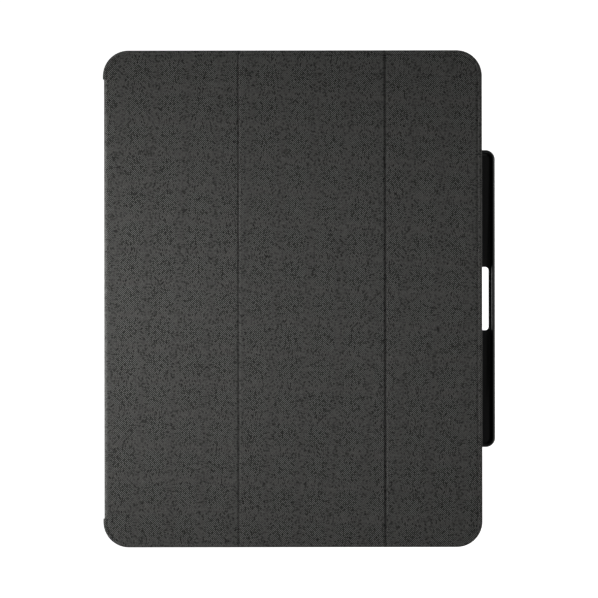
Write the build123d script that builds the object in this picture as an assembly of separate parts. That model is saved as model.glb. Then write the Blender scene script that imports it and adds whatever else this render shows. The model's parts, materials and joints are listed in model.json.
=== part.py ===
from build123d import *
import os

# A tri-fold fabric keyboard folio for a large tablet, closed and lying on its back.
# Millimetres. +Z is up, out of the cover. +X points from the spine to the stylus tray. +Y runs along the
# spine, towards the camera end. The origin is on the back face, under the centre of the tablet bay.

# ---------------------------------------------------------------- driving dimensions
# The tablet and the stylus that the case is made for
TABLET_WIDTH = 214.9
TABLET_HEIGHT = 280.6
TABLET_THICKNESS = 6.4
TABLET_CORNER = 12.0
STYLUS_DIAMETER = 8.9
STYLUS_LENGTH = 166.0

# Shell: hard back plate in a soft bumper frame
BAY_CLEARANCE = 0.15
BACK_THICKNESS = 2.0
SIDE_WALL = 1.0
END_WALL = 2.4
PLATE_LEDGE = 1.6
LIP_OVERHANG = 0.8
LIP_THICKNESS = 0.7
CAMERA_OPENING = 32.0
CAMERA_OPENING_CORNER = 9.0
CAMERA_INSET = 21.0
CAMERA_RING_WIDTH = 1.2
PORT_WIDTH = 14.0
PORT_HEIGHT = 5.8
SPEAKER_SLOT_LENGTH = 26.0
SPEAKER_SLOT_HEIGHT = 3.0
SPEAKER_SLOT_OFFSET = 58.0

# Button covers in the bumper frame
BUTTON_LENGTH = 11.0
BUTTON_WIDTH = 3.2
BUTTON_PROUD = 0.6
BUTTON_GAP = 0.3
VOLUME_UP_INSET = 22.0
VOLUME_PITCH = 14.0
POWER_INSET = 24.0

# Stylus tray on the edge away from the spine
STYLUS_END_ROOM = 4.0
TRAY_TO_BUTTON = 1.0
TRAY_FLOOR = 0.7
TRAY_WALL = 1.2
TRAY_END_WALL = 1.5
TRAY_HEIGHT = 8.6
TRAY_CORNER = 5.5
STYLUS_CLEARANCE = 0.05
WINDOW_LENGTH = 36.8
WINDOW_WIDTH = 5.0
WINDOW_CORNER = 2.0
WINDOW_TO_CHANNEL_WALL = 2.5

# Cover and spine
COVER_SIDE_OVERHANG = 1.4
COVER_END_OVERHANG = 1.65
COVER_CORNER = 14.9
LOBE_OVERHANG = 0.65
SPINE_END_INSET = 16.9
INNER_PANEL_WIDTH = 78.3
OUTER_PANEL_WIDTH = 56.15
FABRIC = 0.6
BOARD = 1.2
LINING = 0.4
HEM_WALL = 1.0
BOARD_INSET = 1.2
LINING_INSET = 1.6
CREASE_GAP = 0.4
BOARD_CREASE_GAP = 2.6
SPINE_GAP = 0.05
SPINE_LINING = 0.3
SPINE_STIFFENER = 0.4
SPINE_FABRIC = 0.5
HINGE_HEIGHT = 0.9
HINGE_CLEARANCE = 0.8
PANEL_HINGE_GAP = 0.7
FLANGE_WIDTH = 30.0
FLANGE_FABRIC = 0.5
KEEPER_WIDTH = 10.0
KEEPER_LENGTH = 200.0
KEEPER_THICKNESS = 0.5

# Magnets in the cover boards
MAGNET_LENGTH = 15.0
MAGNET_WIDTH = 5.0
MAGNET_THICKNESS = 1.0
MAGNET_GAP = 0.1
CLOSURE_MAGNET_INSET = 8.0
CLOSURE_MAGNET_PITCH = 70.0
KEYBOARD_MAGNET_PITCH = 80.0
WAKE_MAGNET_LENGTH = 8.0

# Keyboard, hung from the middle panel by magnets, its keys facing the tablet
KEYBOARD_END_INSET = 4.3
KEYBOARD_FRONT_INSET = 14.45
KEYBOARD_CREASE_INSET = 10.55
KEYBOARD_GAP = 0.1
KEYBOARD_CORNER = 8.0
SCREEN_GAP = 0.4
KEYBOARD_WALL = 1.2
DECK = 0.9
BASE = 0.9
KEY_PROUD = 1.5
BUMPER_PROUD = 1.7
BUMPER_RADIUS = 2.2
BUMPER_INSET = 4.4
KEY_TRAVEL = 1.0
DOME_SQUEEZE_ROOM = 0.1
KEY_SIDE_GAP = 2.6
KEY_OPENING_GAP = 0.2
KEY_FLANGE = 0.5
KEY_FLANGE_THICKNESS = 0.4
KEY_FLANGE_DROP = 0.1
SUPPORT_PLATE = 0.4
MEMBRANE = 0.3
DOME_RADIUS = 2.4
ROW_UNITS = 15
FUNCTION_ROW = 10.0
FRONT_MARGIN = 6.5
COMPONENT_STRIP = 9.4
STRIP_GAP = 0.4

# Parts in the keyboard's component strip, placed by their distance from the cavity's two ends
LIGHTS_FROM_END = 8.8
SWITCH_FROM_END = 25.3
NEAR_SCREW_FROM_END = 33.6
DOCK_MAGNET_FROM_END = 42.8
CORNER_SCREW_FROM_END = 13.5
SOCKET_FROM_END = 32.8
FAR_MAGNET_FROM_END = 50.8
FAR_SCREW_FROM_END = 63.4
MARGIN_SCREW_OFFSET = 47.0
BATTERY_THICKNESS = 2.0
CIRCUIT_BOARD = 0.8
CHIP_SIZE = 6.0
CHIP_HEIGHT = 0.9
SOCKET_WIDTH = 9.0
SOCKET_HEIGHT = 3.2
SOCKET_DEPTH = 7.0
SOCKET_WALL = 0.3
SWITCH_TRAVEL = 3.0
SWITCH_KNOB = 4.0
SWITCH_HEIGHT = 1.2
SWITCH_PROUD = 0.8
SWITCH_BODY_DEPTH = 4.0
LIGHT_RADIUS = 0.6
LIGHT_PITCH = 4.0
LIGHT_COUNT = 3
DOCK_MAGNET_LENGTH = 14.0
SCREW_HEAD_RADIUS = 1.4
SCREW_HEAD = 0.4
SCREW_RADIUS = 0.7
SCREW_GAP = 0.05
BOSS_RADIUS = 1.6

# ---------------------------------------------------------------- sizes that follow
BAY_X = TABLET_WIDTH / 2 + BAY_CLEARANCE
BAY_Y = TABLET_HEIGHT / 2 + BAY_CLEARANCE
BAY_CORNER = TABLET_CORNER + BAY_CLEARANCE
BAY_TOP = BACK_THICKNESS + TABLET_THICKNESS
TABLET_MIDDLE = BACK_THICKNESS + TABLET_THICKNESS / 2
RIM_X = BAY_X + SIDE_WALL
RIM_Y = BAY_Y + END_WALL
RIM_CORNER = BAY_CORNER + SIDE_WALL
RIM_TOP = BAY_TOP + LIP_THICKNESS

SPINE_INSIDE = -(RIM_X + SPINE_GAP)
SPINE_OUTSIDE = SPINE_INSIDE - SPINE_LINING - SPINE_STIFFENER - SPINE_FABRIC
COVER_LEFT = SPINE_OUTSIDE - LOBE_OVERHANG
COVER_RIGHT = RIM_X + COVER_SIDE_OVERHANG
COVER_Y = RIM_Y + COVER_END_OVERHANG
SPINE_Y = COVER_Y - SPINE_END_INSET

BUMPER_FACE = RIM_TOP + SCREEN_GAP
CAVITY = KEY_FLANGE_DROP + KEY_FLANGE_THICKNESS + KEY_TRAVEL + DOME_SQUEEZE_ROOM + MEMBRANE + SUPPORT_PLATE
DECK_FACE = BUMPER_FACE + BUMPER_PROUD
DECK_INSIDE = DECK_FACE + DECK
BASE_INSIDE = DECK_INSIDE + CAVITY
BASE_FACE = BASE_INSIDE + BASE
KEY_FACE = DECK_FACE - KEY_PROUD
LINING_FACE = BASE_FACE + KEYBOARD_GAP
BOARD_FACE = LINING_FACE + LINING
FABRIC_FACE = BOARD_FACE + BOARD
COVER_TOP = FABRIC_FACE + FABRIC

CREASE_1 = SPINE_OUTSIDE + INNER_PANEL_WIDTH
CREASE_2 = COVER_RIGHT - OUTER_PANEL_WIDTH
HINGE_X = SPINE_OUTSIDE + SPINE_FABRIC
PANEL_HINGE_Z = FABRIC_FACE
SPINE_BOTTOM = HINGE_HEIGHT + HINGE_CLEARANCE
SPINE_TOP = LINING_FACE - PANEL_HINGE_GAP

TRAY_INSIDE = TABLET_WIDTH / 2 + STYLUS_DIAMETER + STYLUS_CLEARANCE
TRAY_OUTSIDE = TRAY_INSIDE + TRAY_WALL
TRAY_LENGTH = STYLUS_LENGTH + STYLUS_END_ROOM + 2 * TRAY_END_WALL
CHANNEL_Y = TRAY_LENGTH / 2 - TRAY_END_WALL
VOLUME_UP_Y = TABLET_HEIGHT / 2 - VOLUME_UP_INSET
VOLUME_DOWN_Y = VOLUME_UP_Y - VOLUME_PITCH
POWER_X = TABLET_WIDTH / 2 - POWER_INSET
# The tray is centred, unless the tablet is so short that the volume buttons push it along
TRAY_Y = min(0, VOLUME_DOWN_Y - BUTTON_LENGTH / 2 - TRAY_TO_BUTTON - TRAY_LENGTH / 2)
WINDOW_OUTSIDE = TRAY_INSIDE - WINDOW_TO_CHANNEL_WALL
WINDOW_INSIDE = WINDOW_OUTSIDE - WINDOW_WIDTH

KEYBOARD_BACK = CREASE_1 + KEYBOARD_CREASE_INSET
KEYBOARD_FRONT = TABLET_WIDTH / 2 - KEYBOARD_FRONT_INSET
KEYBOARD_Y = TABLET_HEIGHT / 2 - KEYBOARD_END_INSET
CAVITY_Y = KEYBOARD_Y - KEYBOARD_WALL
STRIP_START = KEYBOARD_BACK + KEYBOARD_WALL + STRIP_GAP / 2
STRIP_END = STRIP_START + COMPONENT_STRIP
STRIP_X = (STRIP_START + STRIP_END) / 2
KEYS_START = STRIP_END + STRIP_GAP
KEYS_END = KEYBOARD_FRONT - KEYBOARD_WALL - FRONT_MARGIN
MARGIN_X = (KEYS_END + KEYBOARD_FRONT - KEYBOARD_WALL) / 2
ROW_PITCH = (KEYS_END - KEYS_START - FUNCTION_ROW) / 5
KEY_BLOCK_Y = CAVITY_Y - KEY_FLANGE - STRIP_GAP * 5
KEY_UNIT = 2 * KEY_BLOCK_Y / ROW_UNITS
FLANGE_BOTTOM = DECK_INSIDE + KEY_FLANGE_DROP
DOME_BOTTOM = FLANGE_BOTTOM + KEY_FLANGE_THICKNESS
PLATE_TOP = BASE_INSIDE
MEMBRANE_TOP = PLATE_TOP - SUPPORT_PLATE
MEMBRANE_BOTTOM = MEMBRANE_TOP - MEMBRANE


# ---------------------------------------------------------------- shapes
def slab(x0, x1, y0, y1, z0, z1):
    """A box between two corners."""
    middle = Pos((x0 + x1) / 2, (y0 + y1) / 2, (z0 + z1) / 2)
    return middle * Box(x1 - x0, y1 - y0, z1 - z0)


def rounded_slab(x0, x1, y0, y1, z0, z1, radius):
    """A plate with its four upright edges rounded."""
    outline = Pos((x0 + x1) / 2, (y0 + y1) / 2, z0) * RectangleRounded(x1 - x0, y1 - y0, radius)
    return extrude(outline, amount=z1 - z0)


def centred_slab(half_x, half_y, z0, z1, radius):
    """A rounded plate centred on the tablet bay."""
    return rounded_slab(-half_x, half_x, -half_y, half_y, z0, z1, radius)


def disc(x, y, z0, z1, radius):
    """An upright cylinder between two heights."""
    return Pos(x, y, (z0 + z1) / 2) * Cylinder(radius, z1 - z0)


def group(solids):
    """Separate solids that share one node."""
    return Compound(children=list(solids))


# ---------------------------------------------------------------- shell
CAMERA_X = TABLET_WIDTH / 2 - CAMERA_INSET
CAMERA_Y = TABLET_HEIGHT / 2 - CAMERA_INSET
FLANGE_POCKET = (-RIM_X, -RIM_X + FLANGE_WIDTH, -SPINE_Y, SPINE_Y)
KEEPER_X = -RIM_X + FLANGE_WIDTH / 2


def camera_block(shrink):
    """The camera opening's block, smaller by shrink on each side."""
    half = CAMERA_OPENING / 2 - shrink
    return rounded_slab(
        CAMERA_X - half, CAMERA_X + half, CAMERA_Y - half, CAMERA_Y + half,
        0, BACK_THICKNESS, CAMERA_OPENING_CORNER - shrink,
    )


def flange_pocket():
    """The shallow seat in the back that takes the glued fabric flange."""
    return slab(*FLANGE_POCKET, 0, FLANGE_FABRIC)


def keeper_bar():
    """The steel strip behind the flange that the stand's magnets grip."""
    return slab(
        KEEPER_X - KEEPER_WIDTH / 2, KEEPER_X + KEEPER_WIDTH / 2, -KEEPER_LENGTH / 2, KEEPER_LENGTH / 2,
        FLANGE_FABRIC, FLANGE_FABRIC + KEEPER_THICKNESS,
    )


def back_plate():
    """Hard back plate with its camera opening and the seats for flange and keeper."""
    plate = centred_slab(BAY_X - PLATE_LEDGE, BAY_Y - PLATE_LEDGE, 0, BACK_THICKNESS, BAY_CORNER - PLATE_LEDGE)
    return plate - camera_block(0) - flange_pocket() - keeper_bar()


def side_button(y, grow, inside, outside):
    """A volume button's block in the long wall, larger by grow all round."""
    return slab(
        inside, outside, y - BUTTON_LENGTH / 2 - grow, y + BUTTON_LENGTH / 2 + grow,
        TABLET_MIDDLE - BUTTON_WIDTH / 2 - grow, TABLET_MIDDLE + BUTTON_WIDTH / 2 + grow,
    )


def end_button(x, grow, inside, outside):
    """The power button's block in the short wall, larger by grow all round."""
    return slab(
        x - BUTTON_LENGTH / 2 - grow, x + BUTTON_LENGTH / 2 + grow, inside, outside,
        TABLET_MIDDLE - BUTTON_WIDTH / 2 - grow, TABLET_MIDDLE + BUTTON_WIDTH / 2 + grow,
    )


def bumper_frame():
    """Soft frame round the bay: ledge under the plate's edge, wall, and a lip over the tablet's edge."""
    frame = centred_slab(RIM_X, RIM_Y, 0, RIM_TOP, RIM_CORNER)
    frame -= centred_slab(BAY_X - PLATE_LEDGE, BAY_Y - PLATE_LEDGE, 0, BACK_THICKNESS, BAY_CORNER - PLATE_LEDGE)
    frame -= centred_slab(BAY_X, BAY_Y, BACK_THICKNESS, BAY_TOP, BAY_CORNER)
    frame -= centred_slab(BAY_X - LIP_OVERHANG, BAY_Y - LIP_OVERHANG, BAY_TOP, RIM_TOP, BAY_CORNER - LIP_OVERHANG)
    frame -= slab(BAY_X - LIP_OVERHANG, RIM_X, TRAY_Y - CHANNEL_Y, TRAY_Y + CHANNEL_Y, BACK_THICKNESS, RIM_TOP)
    frame -= flange_pocket()
    port_z0 = TABLET_MIDDLE - PORT_HEIGHT / 2
    frame -= slab(-PORT_WIDTH / 2, PORT_WIDTH / 2, -RIM_Y, -BAY_Y, port_z0, port_z0 + PORT_HEIGHT)
    slot_z0 = TABLET_MIDDLE - SPEAKER_SLOT_HEIGHT / 2
    for x in (-SPEAKER_SLOT_OFFSET, SPEAKER_SLOT_OFFSET):
        for y0, y1 in ((-RIM_Y, -BAY_Y), (BAY_Y, RIM_Y)):
            slot = slab(
                x - SPEAKER_SLOT_LENGTH / 2, x + SPEAKER_SLOT_LENGTH / 2, y0, y1,
                slot_z0, slot_z0 + SPEAKER_SLOT_HEIGHT,
            )
            frame -= slot
    for y in (VOLUME_UP_Y, VOLUME_DOWN_Y):
        frame -= side_button(y, BUTTON_GAP, BAY_X, RIM_X)
    frame -= end_button(POWER_X, BUTTON_GAP, BAY_Y, RIM_Y)
    return frame


def stylus_tray():
    """Open channel along the free edge, with a push-out window in its floor."""
    half = TRAY_LENGTH / 2
    reach = 2 * TRAY_CORNER
    tray = rounded_slab(RIM_X - reach, TRAY_OUTSIDE, -half, half, 0, TRAY_HEIGHT, TRAY_CORNER)
    channel = rounded_slab(
        RIM_X - reach, TRAY_INSIDE, -CHANNEL_Y, CHANNEL_Y, TRAY_FLOOR, TRAY_HEIGHT, TRAY_CORNER - TRAY_WALL
    )
    window = rounded_slab(
        WINDOW_INSIDE, WINDOW_OUTSIDE, -WINDOW_LENGTH / 2, WINDOW_LENGTH / 2, 0, TRAY_FLOOR, WINDOW_CORNER
    )
    beside = slab(RIM_X - 2 * reach, RIM_X, -TRAY_LENGTH, TRAY_LENGTH, 0, TRAY_HEIGHT)
    return Pos(0, TRAY_Y, 0) * (tray - channel - window - beside)


def shell_parts():
    """The shell's own pieces."""
    return {
        "back_plate": back_plate(),
        "bumper_frame": bumper_frame(),
        "stylus_tray": stylus_tray(),
        "camera_ring": camera_block(0) - camera_block(CAMERA_RING_WIDTH),
        "back_flange_fabric": flange_pocket(),
        "stand_keeper_strip": keeper_bar(),
        "volume_up_cover": side_button(VOLUME_UP_Y, 0, BAY_X, RIM_X + BUTTON_PROUD),
        "volume_down_cover": side_button(VOLUME_DOWN_Y, 0, BAY_X, RIM_X + BUTTON_PROUD),
        "power_button_cover": end_button(POWER_X, 0, BAY_Y, RIM_Y + BUTTON_PROUD),
    }


# ---------------------------------------------------------------- spine and cover
def spine_layer(x0, x1):
    """One layer of the spine, between the two fabric hinges."""
    return slab(x0, x1, -SPINE_Y, SPINE_Y, SPINE_BOTTOM, SPINE_TOP)


def spine_parts():
    """Lining, stiffener and fabric of the spine."""
    stiffener_inside = SPINE_INSIDE - SPINE_LINING
    fabric_inside = stiffener_inside - SPINE_STIFFENER
    return {
        "spine_lining": spine_layer(stiffener_inside, SPINE_INSIDE),
        "spine_stiffener": spine_layer(fabric_inside, stiffener_inside),
        "spine_fabric": spine_layer(SPINE_OUTSIDE, fabric_inside),
    }


def cover_layer(inset, z0, z1):
    """The whole cover's outline, inset all round. The spine joins between its two corner lobes."""
    sheet = rounded_slab(
        COVER_LEFT + inset, COVER_RIGHT - inset, -COVER_Y + inset, COVER_Y - inset, z0, z1, COVER_CORNER - inset
    )
    return sheet - slab(COVER_LEFT, SPINE_OUTSIDE + inset, -SPINE_Y, SPINE_Y, z0, z1)


def between(x0, x1):
    """The full-height block between two planes across the cover."""
    return slab(x0, x1, -COVER_Y, COVER_Y, 0, COVER_TOP)


PANELS = {
    "inner": (COVER_LEFT, CREASE_1),
    "middle": (CREASE_1, CREASE_2),
    "outer": (CREASE_2, COVER_RIGHT),
}


def magnet_bar(x, y, length, grow=0.0):
    """One bar magnet in a cover board, standing on the lining."""
    return slab(
        x - MAGNET_WIDTH / 2 - grow, x + MAGNET_WIDTH / 2 + grow, y - length / 2 - grow, y + length / 2 + grow,
        BOARD_FACE, BOARD_FACE + MAGNET_THICKNESS,
    )


def closure_places():
    """Centres and lengths of the magnets along the free edge."""
    x = COVER_RIGHT - CLOSURE_MAGNET_INSET
    pitch = CLOSURE_MAGNET_PITCH
    return [(x, y, MAGNET_LENGTH) for y in (-1.5 * pitch, -0.5 * pitch, 0.5 * pitch, 1.5 * pitch)]


def keyboard_magnet_places():
    """Centres and lengths of the magnets that hold the keyboard to the middle panel."""
    inset = BOARD_CREASE_GAP + 3 * MAGNET_WIDTH
    rows = (max(CREASE_1 + inset, STRIP_X), CREASE_2 - inset)
    return [(x, n * KEYBOARD_MAGNET_PITCH, MAGNET_LENGTH) for x in rows for n in (-1, 0, 1)]


WAKE_PLACE = (COVER_RIGHT - CLOSURE_MAGNET_INSET, CLOSURE_MAGNET_PITCH, WAKE_MAGNET_LENGTH)


def panel_board(x0, x1, magnets):
    """A panel's board, held back from the creases, with its magnets' seats."""
    half_gap = BOARD_CREASE_GAP / 2
    board = cover_layer(HEM_WALL + BOARD_INSET, BOARD_FACE, FABRIC_FACE) & between(x0 + half_gap, x1 - half_gap)
    for x, y, length in magnets:
        board -= magnet_bar(x, y, length, MAGNET_GAP)
    return board


def panel_parts():
    """Fabric, board and lining of the three panels."""
    fabric = cover_layer(0, FABRIC_FACE, COVER_TOP)
    fabric += cover_layer(0, BOARD_FACE, FABRIC_FACE) - cover_layer(HEM_WALL, BOARD_FACE, FABRIC_FACE)
    lining = cover_layer(LINING_INSET, LINING_FACE, BOARD_FACE)
    magnets = {"inner": [], "middle": keyboard_magnet_places(), "outer": closure_places() + [WAKE_PLACE]}
    parts = {}
    for name, (x0, x1) in PANELS.items():
        start = x0 if x0 == COVER_LEFT else x0 + CREASE_GAP / 2
        end = x1 if x1 == COVER_RIGHT else x1 - CREASE_GAP / 2
        parts[f"{name}_panel_fabric"] = fabric & between(start, end)
        parts[f"{name}_panel_board"] = panel_board(x0, x1, magnets[name])
        parts[f"{name}_panel_lining"] = lining & between(start, end)
    parts["keyboard_holding_magnets"] = group(magnet_bar(*place) for place in keyboard_magnet_places())
    parts["closure_magnets"] = group(magnet_bar(*place) for place in closure_places())
    parts["wake_magnet"] = magnet_bar(*WAKE_PLACE)
    return parts


# ---------------------------------------------------------------- keyboard
# Each row is a list of key widths in units, from the left of the typist, which is +Y here.
ROWS = {
    "function_keys": [ROW_UNITS / 14] * 14,
    "number_keys": [1] * 13 + [2],
    "upper_letter_keys": [1.5] + [1] * 12 + [1.5],
    "home_keys": [1.75] + [1] * 11 + [2.25],
    "lower_letter_keys": [2.25] + [1] * 10 + [2.75],
}
BOTTOM_ROW = [
    ("modifier_keys", 1), ("modifier_keys", 1), ("modifier_keys", 1), ("modifier_keys", 1.25),
    ("space_bar", 5.5), ("modifier_keys", 1.25), ("modifier_keys", 1),
    ("arrow_keys", 1), ("arrow_pair", 1), ("arrow_keys", 1),
]


def key_places():
    """For each group of keys, the x and y ranges of its caps."""
    half = KEY_SIDE_GAP / 2
    places = {}

    def place(name, left, width, x0, x1):
        y1 = KEY_BLOCK_Y - left * KEY_UNIT
        span = (x0 + half, x1 - half, y1 - width * KEY_UNIT + half, y1 - half)
        places.setdefault(name, []).append(span)

    x0 = KEYS_START
    for name, widths in ROWS.items():
        x1 = x0 + (FUNCTION_ROW if name == "function_keys" else ROW_PITCH)
        for index, width in enumerate(widths):
            place(name, sum(widths[:index]), width, x0, x1)
        x0 = x1
    left = 0
    for name, width in BOTTOM_ROW:
        if name == "arrow_pair":
            middle = x0 + ROW_PITCH / 2
            place("arrow_keys", left, width, x0, middle + half / 2)
            place("arrow_keys", left, width, middle - half / 2, x0 + ROW_PITCH)
        else:
            place(name, left, width, x0, x0 + ROW_PITCH)
        left += width
    return places


def key_cap(span):
    """One cap: a block that passes the deck, on a flange that the deck holds back."""
    x0, x1, y0, y1 = span
    return slab(x0, x1, y0, y1, KEY_FACE, DOME_BOTTOM) + slab(
        x0 - KEY_FLANGE, x1 + KEY_FLANGE, y0 - KEY_FLANGE, y1 + KEY_FLANGE, FLANGE_BOTTOM, DOME_BOTTOM
    )


def key_opening(span):
    """The deck opening for one cap."""
    x0, x1, y0, y1 = span
    gap = KEY_OPENING_GAP
    return slab(x0 - gap, x1 + gap, y0 - gap, y1 + gap, DECK_FACE, DECK_INSIDE)


def keyboard_outline(inset, z0, z1):
    """The keyboard's rounded outline, inset all round."""
    return rounded_slab(
        KEYBOARD_BACK + inset, KEYBOARD_FRONT - inset, -KEYBOARD_Y + inset, KEYBOARD_Y - inset,
        z0, z1, KEYBOARD_CORNER - inset,
    )


FAR_SCREW_Y = CAVITY_Y - FAR_SCREW_FROM_END
CORNER_SCREW_Y = CAVITY_Y - CORNER_SCREW_FROM_END
SCREW_PLACES = [
    (STRIP_X, NEAR_SCREW_FROM_END - CAVITY_Y), (STRIP_X, 0), (STRIP_X, FAR_SCREW_Y), (STRIP_X, CORNER_SCREW_Y),
    (MARGIN_X, -CORNER_SCREW_Y), (MARGIN_X, -MARGIN_SCREW_OFFSET),
    (MARGIN_X, MARGIN_SCREW_OFFSET), (MARGIN_X, CORNER_SCREW_Y),
]
BUMPER_PLACES = [
    (KEYBOARD_BACK + BUMPER_INSET, -KEYBOARD_Y + BUMPER_INSET), (KEYBOARD_BACK + BUMPER_INSET, 0),
    (KEYBOARD_BACK + BUMPER_INSET, KEYBOARD_Y - BUMPER_INSET),
    (KEYBOARD_FRONT - BUMPER_INSET, -KEYBOARD_Y + BUMPER_INSET), (KEYBOARD_FRONT - BUMPER_INSET, 0),
    (KEYBOARD_FRONT - BUMPER_INSET, KEYBOARD_Y - BUMPER_INSET),
]
LIGHT_PLACES = [(STRIP_X, LIGHTS_FROM_END - CAVITY_Y + n * LIGHT_PITCH) for n in range(LIGHT_COUNT)]
CAVITY_MIDDLE = (DECK_INSIDE + BASE_INSIDE) / 2
CAVITY_BACK = KEYBOARD_BACK + KEYBOARD_WALL
SOCKET_Y = CAVITY_Y - SOCKET_FROM_END
SWITCH_Y = SWITCH_FROM_END - CAVITY_Y
SWITCH_START = SWITCH_Y - SWITCH_TRAVEL / 2
DOCK_MAGNET_YS = (DOCK_MAGNET_FROM_END - CAVITY_Y, CAVITY_Y - FAR_MAGNET_FROM_END)


def charge_socket_block(shrink=0.0):
    """The charging socket's outside, or its mouth when shrunk by the wall."""
    half_width = SOCKET_WIDTH / 2 - shrink
    half_height = SOCKET_HEIGHT / 2 - shrink
    return slab(
        KEYBOARD_BACK, KEYBOARD_BACK + SOCKET_DEPTH - shrink, SOCKET_Y - half_width, SOCKET_Y + half_width,
        CAVITY_MIDDLE - half_height, CAVITY_MIDDLE + half_height,
    )


def switch_slot():
    """The slot in the back wall that the switch knob slides in."""
    half_run = (SWITCH_KNOB + SWITCH_TRAVEL) / 2 + BUTTON_GAP
    half_height = SWITCH_HEIGHT / 2 + BUTTON_GAP
    return slab(
        KEYBOARD_BACK, CAVITY_BACK, SWITCH_Y - half_run, SWITCH_Y + half_run,
        CAVITY_MIDDLE - half_height, CAVITY_MIDDLE + half_height,
    )


def switch_knob():
    """The knob at its off end, reaching in to the switch body."""
    return slab(
        KEYBOARD_BACK - SWITCH_PROUD, CAVITY_BACK + SWITCH_PROUD,
        SWITCH_START - SWITCH_KNOB / 2, SWITCH_START + SWITCH_KNOB / 2,
        CAVITY_MIDDLE - SWITCH_HEIGHT / 2, CAVITY_MIDDLE + SWITCH_HEIGHT / 2,
    )


def keyboard_deck(places):
    """Top case: the face round the keys, the side wall and the screw bosses."""
    deck = keyboard_outline(0, DECK_FACE, BASE_INSIDE) - keyboard_outline(KEYBOARD_WALL, DECK_INSIDE, BASE_INSIDE)
    for x, y in SCREW_PLACES:
        deck += disc(x, y, DECK_INSIDE, BASE_INSIDE, BOSS_RADIUS)
        deck -= disc(x, y, DECK_INSIDE, BASE_INSIDE, SCREW_RADIUS + SCREW_GAP)
    for x, y in LIGHT_PLACES:
        deck -= disc(x, y, DECK_FACE, DECK_INSIDE, LIGHT_RADIUS)
    deck = deck - charge_socket_block() - switch_slot()
    openings = [key_opening(span) for spans in places.values() for span in spans]
    return deck - openings


def keyboard_base():
    """Bottom case plate with countersunk screw holes."""
    base = keyboard_outline(0, BASE_INSIDE, BASE_FACE) - charge_socket_block()
    for x, y in SCREW_PLACES:
        base -= disc(x, y, BASE_INSIDE, BASE_FACE, SCREW_RADIUS + SCREW_GAP)
        base -= disc(x, y, BASE_FACE - SCREW_HEAD, BASE_FACE, SCREW_HEAD_RADIUS + SCREW_GAP)
    return base


def screw(x, y):
    """One countersunk case screw."""
    head = disc(x, y, BASE_FACE - SCREW_HEAD, BASE_FACE, SCREW_HEAD_RADIUS)
    return head + disc(x, y, DECK_INSIDE, BASE_FACE - SCREW_HEAD, SCREW_RADIUS)


def strip_box(y0, y1, z0, z1):
    """A box across the component strip."""
    return slab(STRIP_START, STRIP_END, y0, y1, z0, z1)


def key_field(z0, z1):
    """The plate under the keys."""
    return slab(KEYS_START, KEYS_END, -CAVITY_Y + STRIP_GAP, CAVITY_Y - STRIP_GAP, z0, z1)


def circuit_board():
    """Control board with its two chips."""
    y0 = BOSS_RADIUS + STRIP_GAP
    y1 = FAR_SCREW_Y - BOSS_RADIUS - STRIP_GAP
    z1 = BASE_INSIDE - STRIP_GAP
    board = strip_box(y0, y1, z1 - CIRCUIT_BOARD, z1)
    for y in (y0 + CHIP_SIZE, y1 - 2 * CHIP_SIZE):
        board += slab(
            STRIP_X - CHIP_SIZE / 2, STRIP_X + CHIP_SIZE / 2, y, y + CHIP_SIZE,
            z1 - CIRCUIT_BOARD - CHIP_HEIGHT, z1 - CIRCUIT_BOARD,
        )
    return board


def battery():
    """Flat cell in the component strip, from the dock magnet to the middle screw."""
    y0 = DOCK_MAGNET_YS[0] + DOCK_MAGNET_LENGTH / 2 + STRIP_GAP
    return strip_box(y0, -BOSS_RADIUS - STRIP_GAP, BASE_INSIDE - BATTERY_THICKNESS, BASE_INSIDE)


def dock_magnets():
    """Magnets in the keyboard that meet the cover's."""
    half = DOCK_MAGNET_LENGTH / 2
    return group(
        slab(
            STRIP_X - MAGNET_WIDTH / 2, STRIP_X + MAGNET_WIDTH / 2, y - half, y + half,
            BASE_INSIDE - MAGNET_THICKNESS, BASE_INSIDE,
        )
        for y in DOCK_MAGNET_YS
    )


def key_domes(places):
    """Rubber domes: one under each cap, two under the space bar."""
    domes = []
    for name, spans in places.items():
        for x0, x1, y0, y1 in spans:
            x, y = (x0 + x1) / 2, (y0 + y1) / 2
            offsets = (-KEY_UNIT, KEY_UNIT) if name == "space_bar" else (0,)
            radius = min(DOME_RADIUS, (x1 - x0) / 2)
            domes += [disc(x, y + offset, DOME_BOTTOM, MEMBRANE_BOTTOM, radius) for offset in offsets]
    return group(domes)


def switch_body():
    """The slide switch's own case behind its knob."""
    x0 = CAVITY_BACK + SWITCH_PROUD + STRIP_GAP
    half_run = (SWITCH_KNOB + SWITCH_TRAVEL) / 2
    return slab(
        x0, x0 + SWITCH_BODY_DEPTH, SWITCH_Y - half_run, SWITCH_Y + half_run,
        CAVITY_MIDDLE - SWITCH_HEIGHT / 2, CAVITY_MIDDLE + SWITCH_HEIGHT / 2,
    )


def keyboard_parts():
    """The detachable keyboard's pieces."""
    places = key_places()
    parts = {
        "keyboard_deck": keyboard_deck(places),
        "keyboard_base": keyboard_base(),
        "key_support_plate": key_field(MEMBRANE_TOP, PLATE_TOP),
        "key_membrane": key_field(MEMBRANE_BOTTOM, MEMBRANE_TOP),
        "key_domes": key_domes(places),
        "keyboard_battery": battery(),
        "control_board": circuit_board(),
        "charge_socket": charge_socket_block() - charge_socket_block(SOCKET_WALL),
        "power_switch_body": switch_body(),
        "power_switch_knob": switch_knob(),
        "status_lights": group(disc(x, y, DECK_FACE, DECK_INSIDE, LIGHT_RADIUS) for x, y in LIGHT_PLACES),
        "dock_magnets": dock_magnets(),
        "screen_bumpers": group(disc(x, y, BUMPER_FACE, DECK_FACE, BUMPER_RADIUS) for x, y in BUMPER_PLACES),
        "keyboard_screws": group(screw(x, y) for x, y in SCREW_PLACES),
    }
    for name, spans in places.items():
        parts[name] = group(key_cap(span) for span in spans)
    return parts


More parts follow.
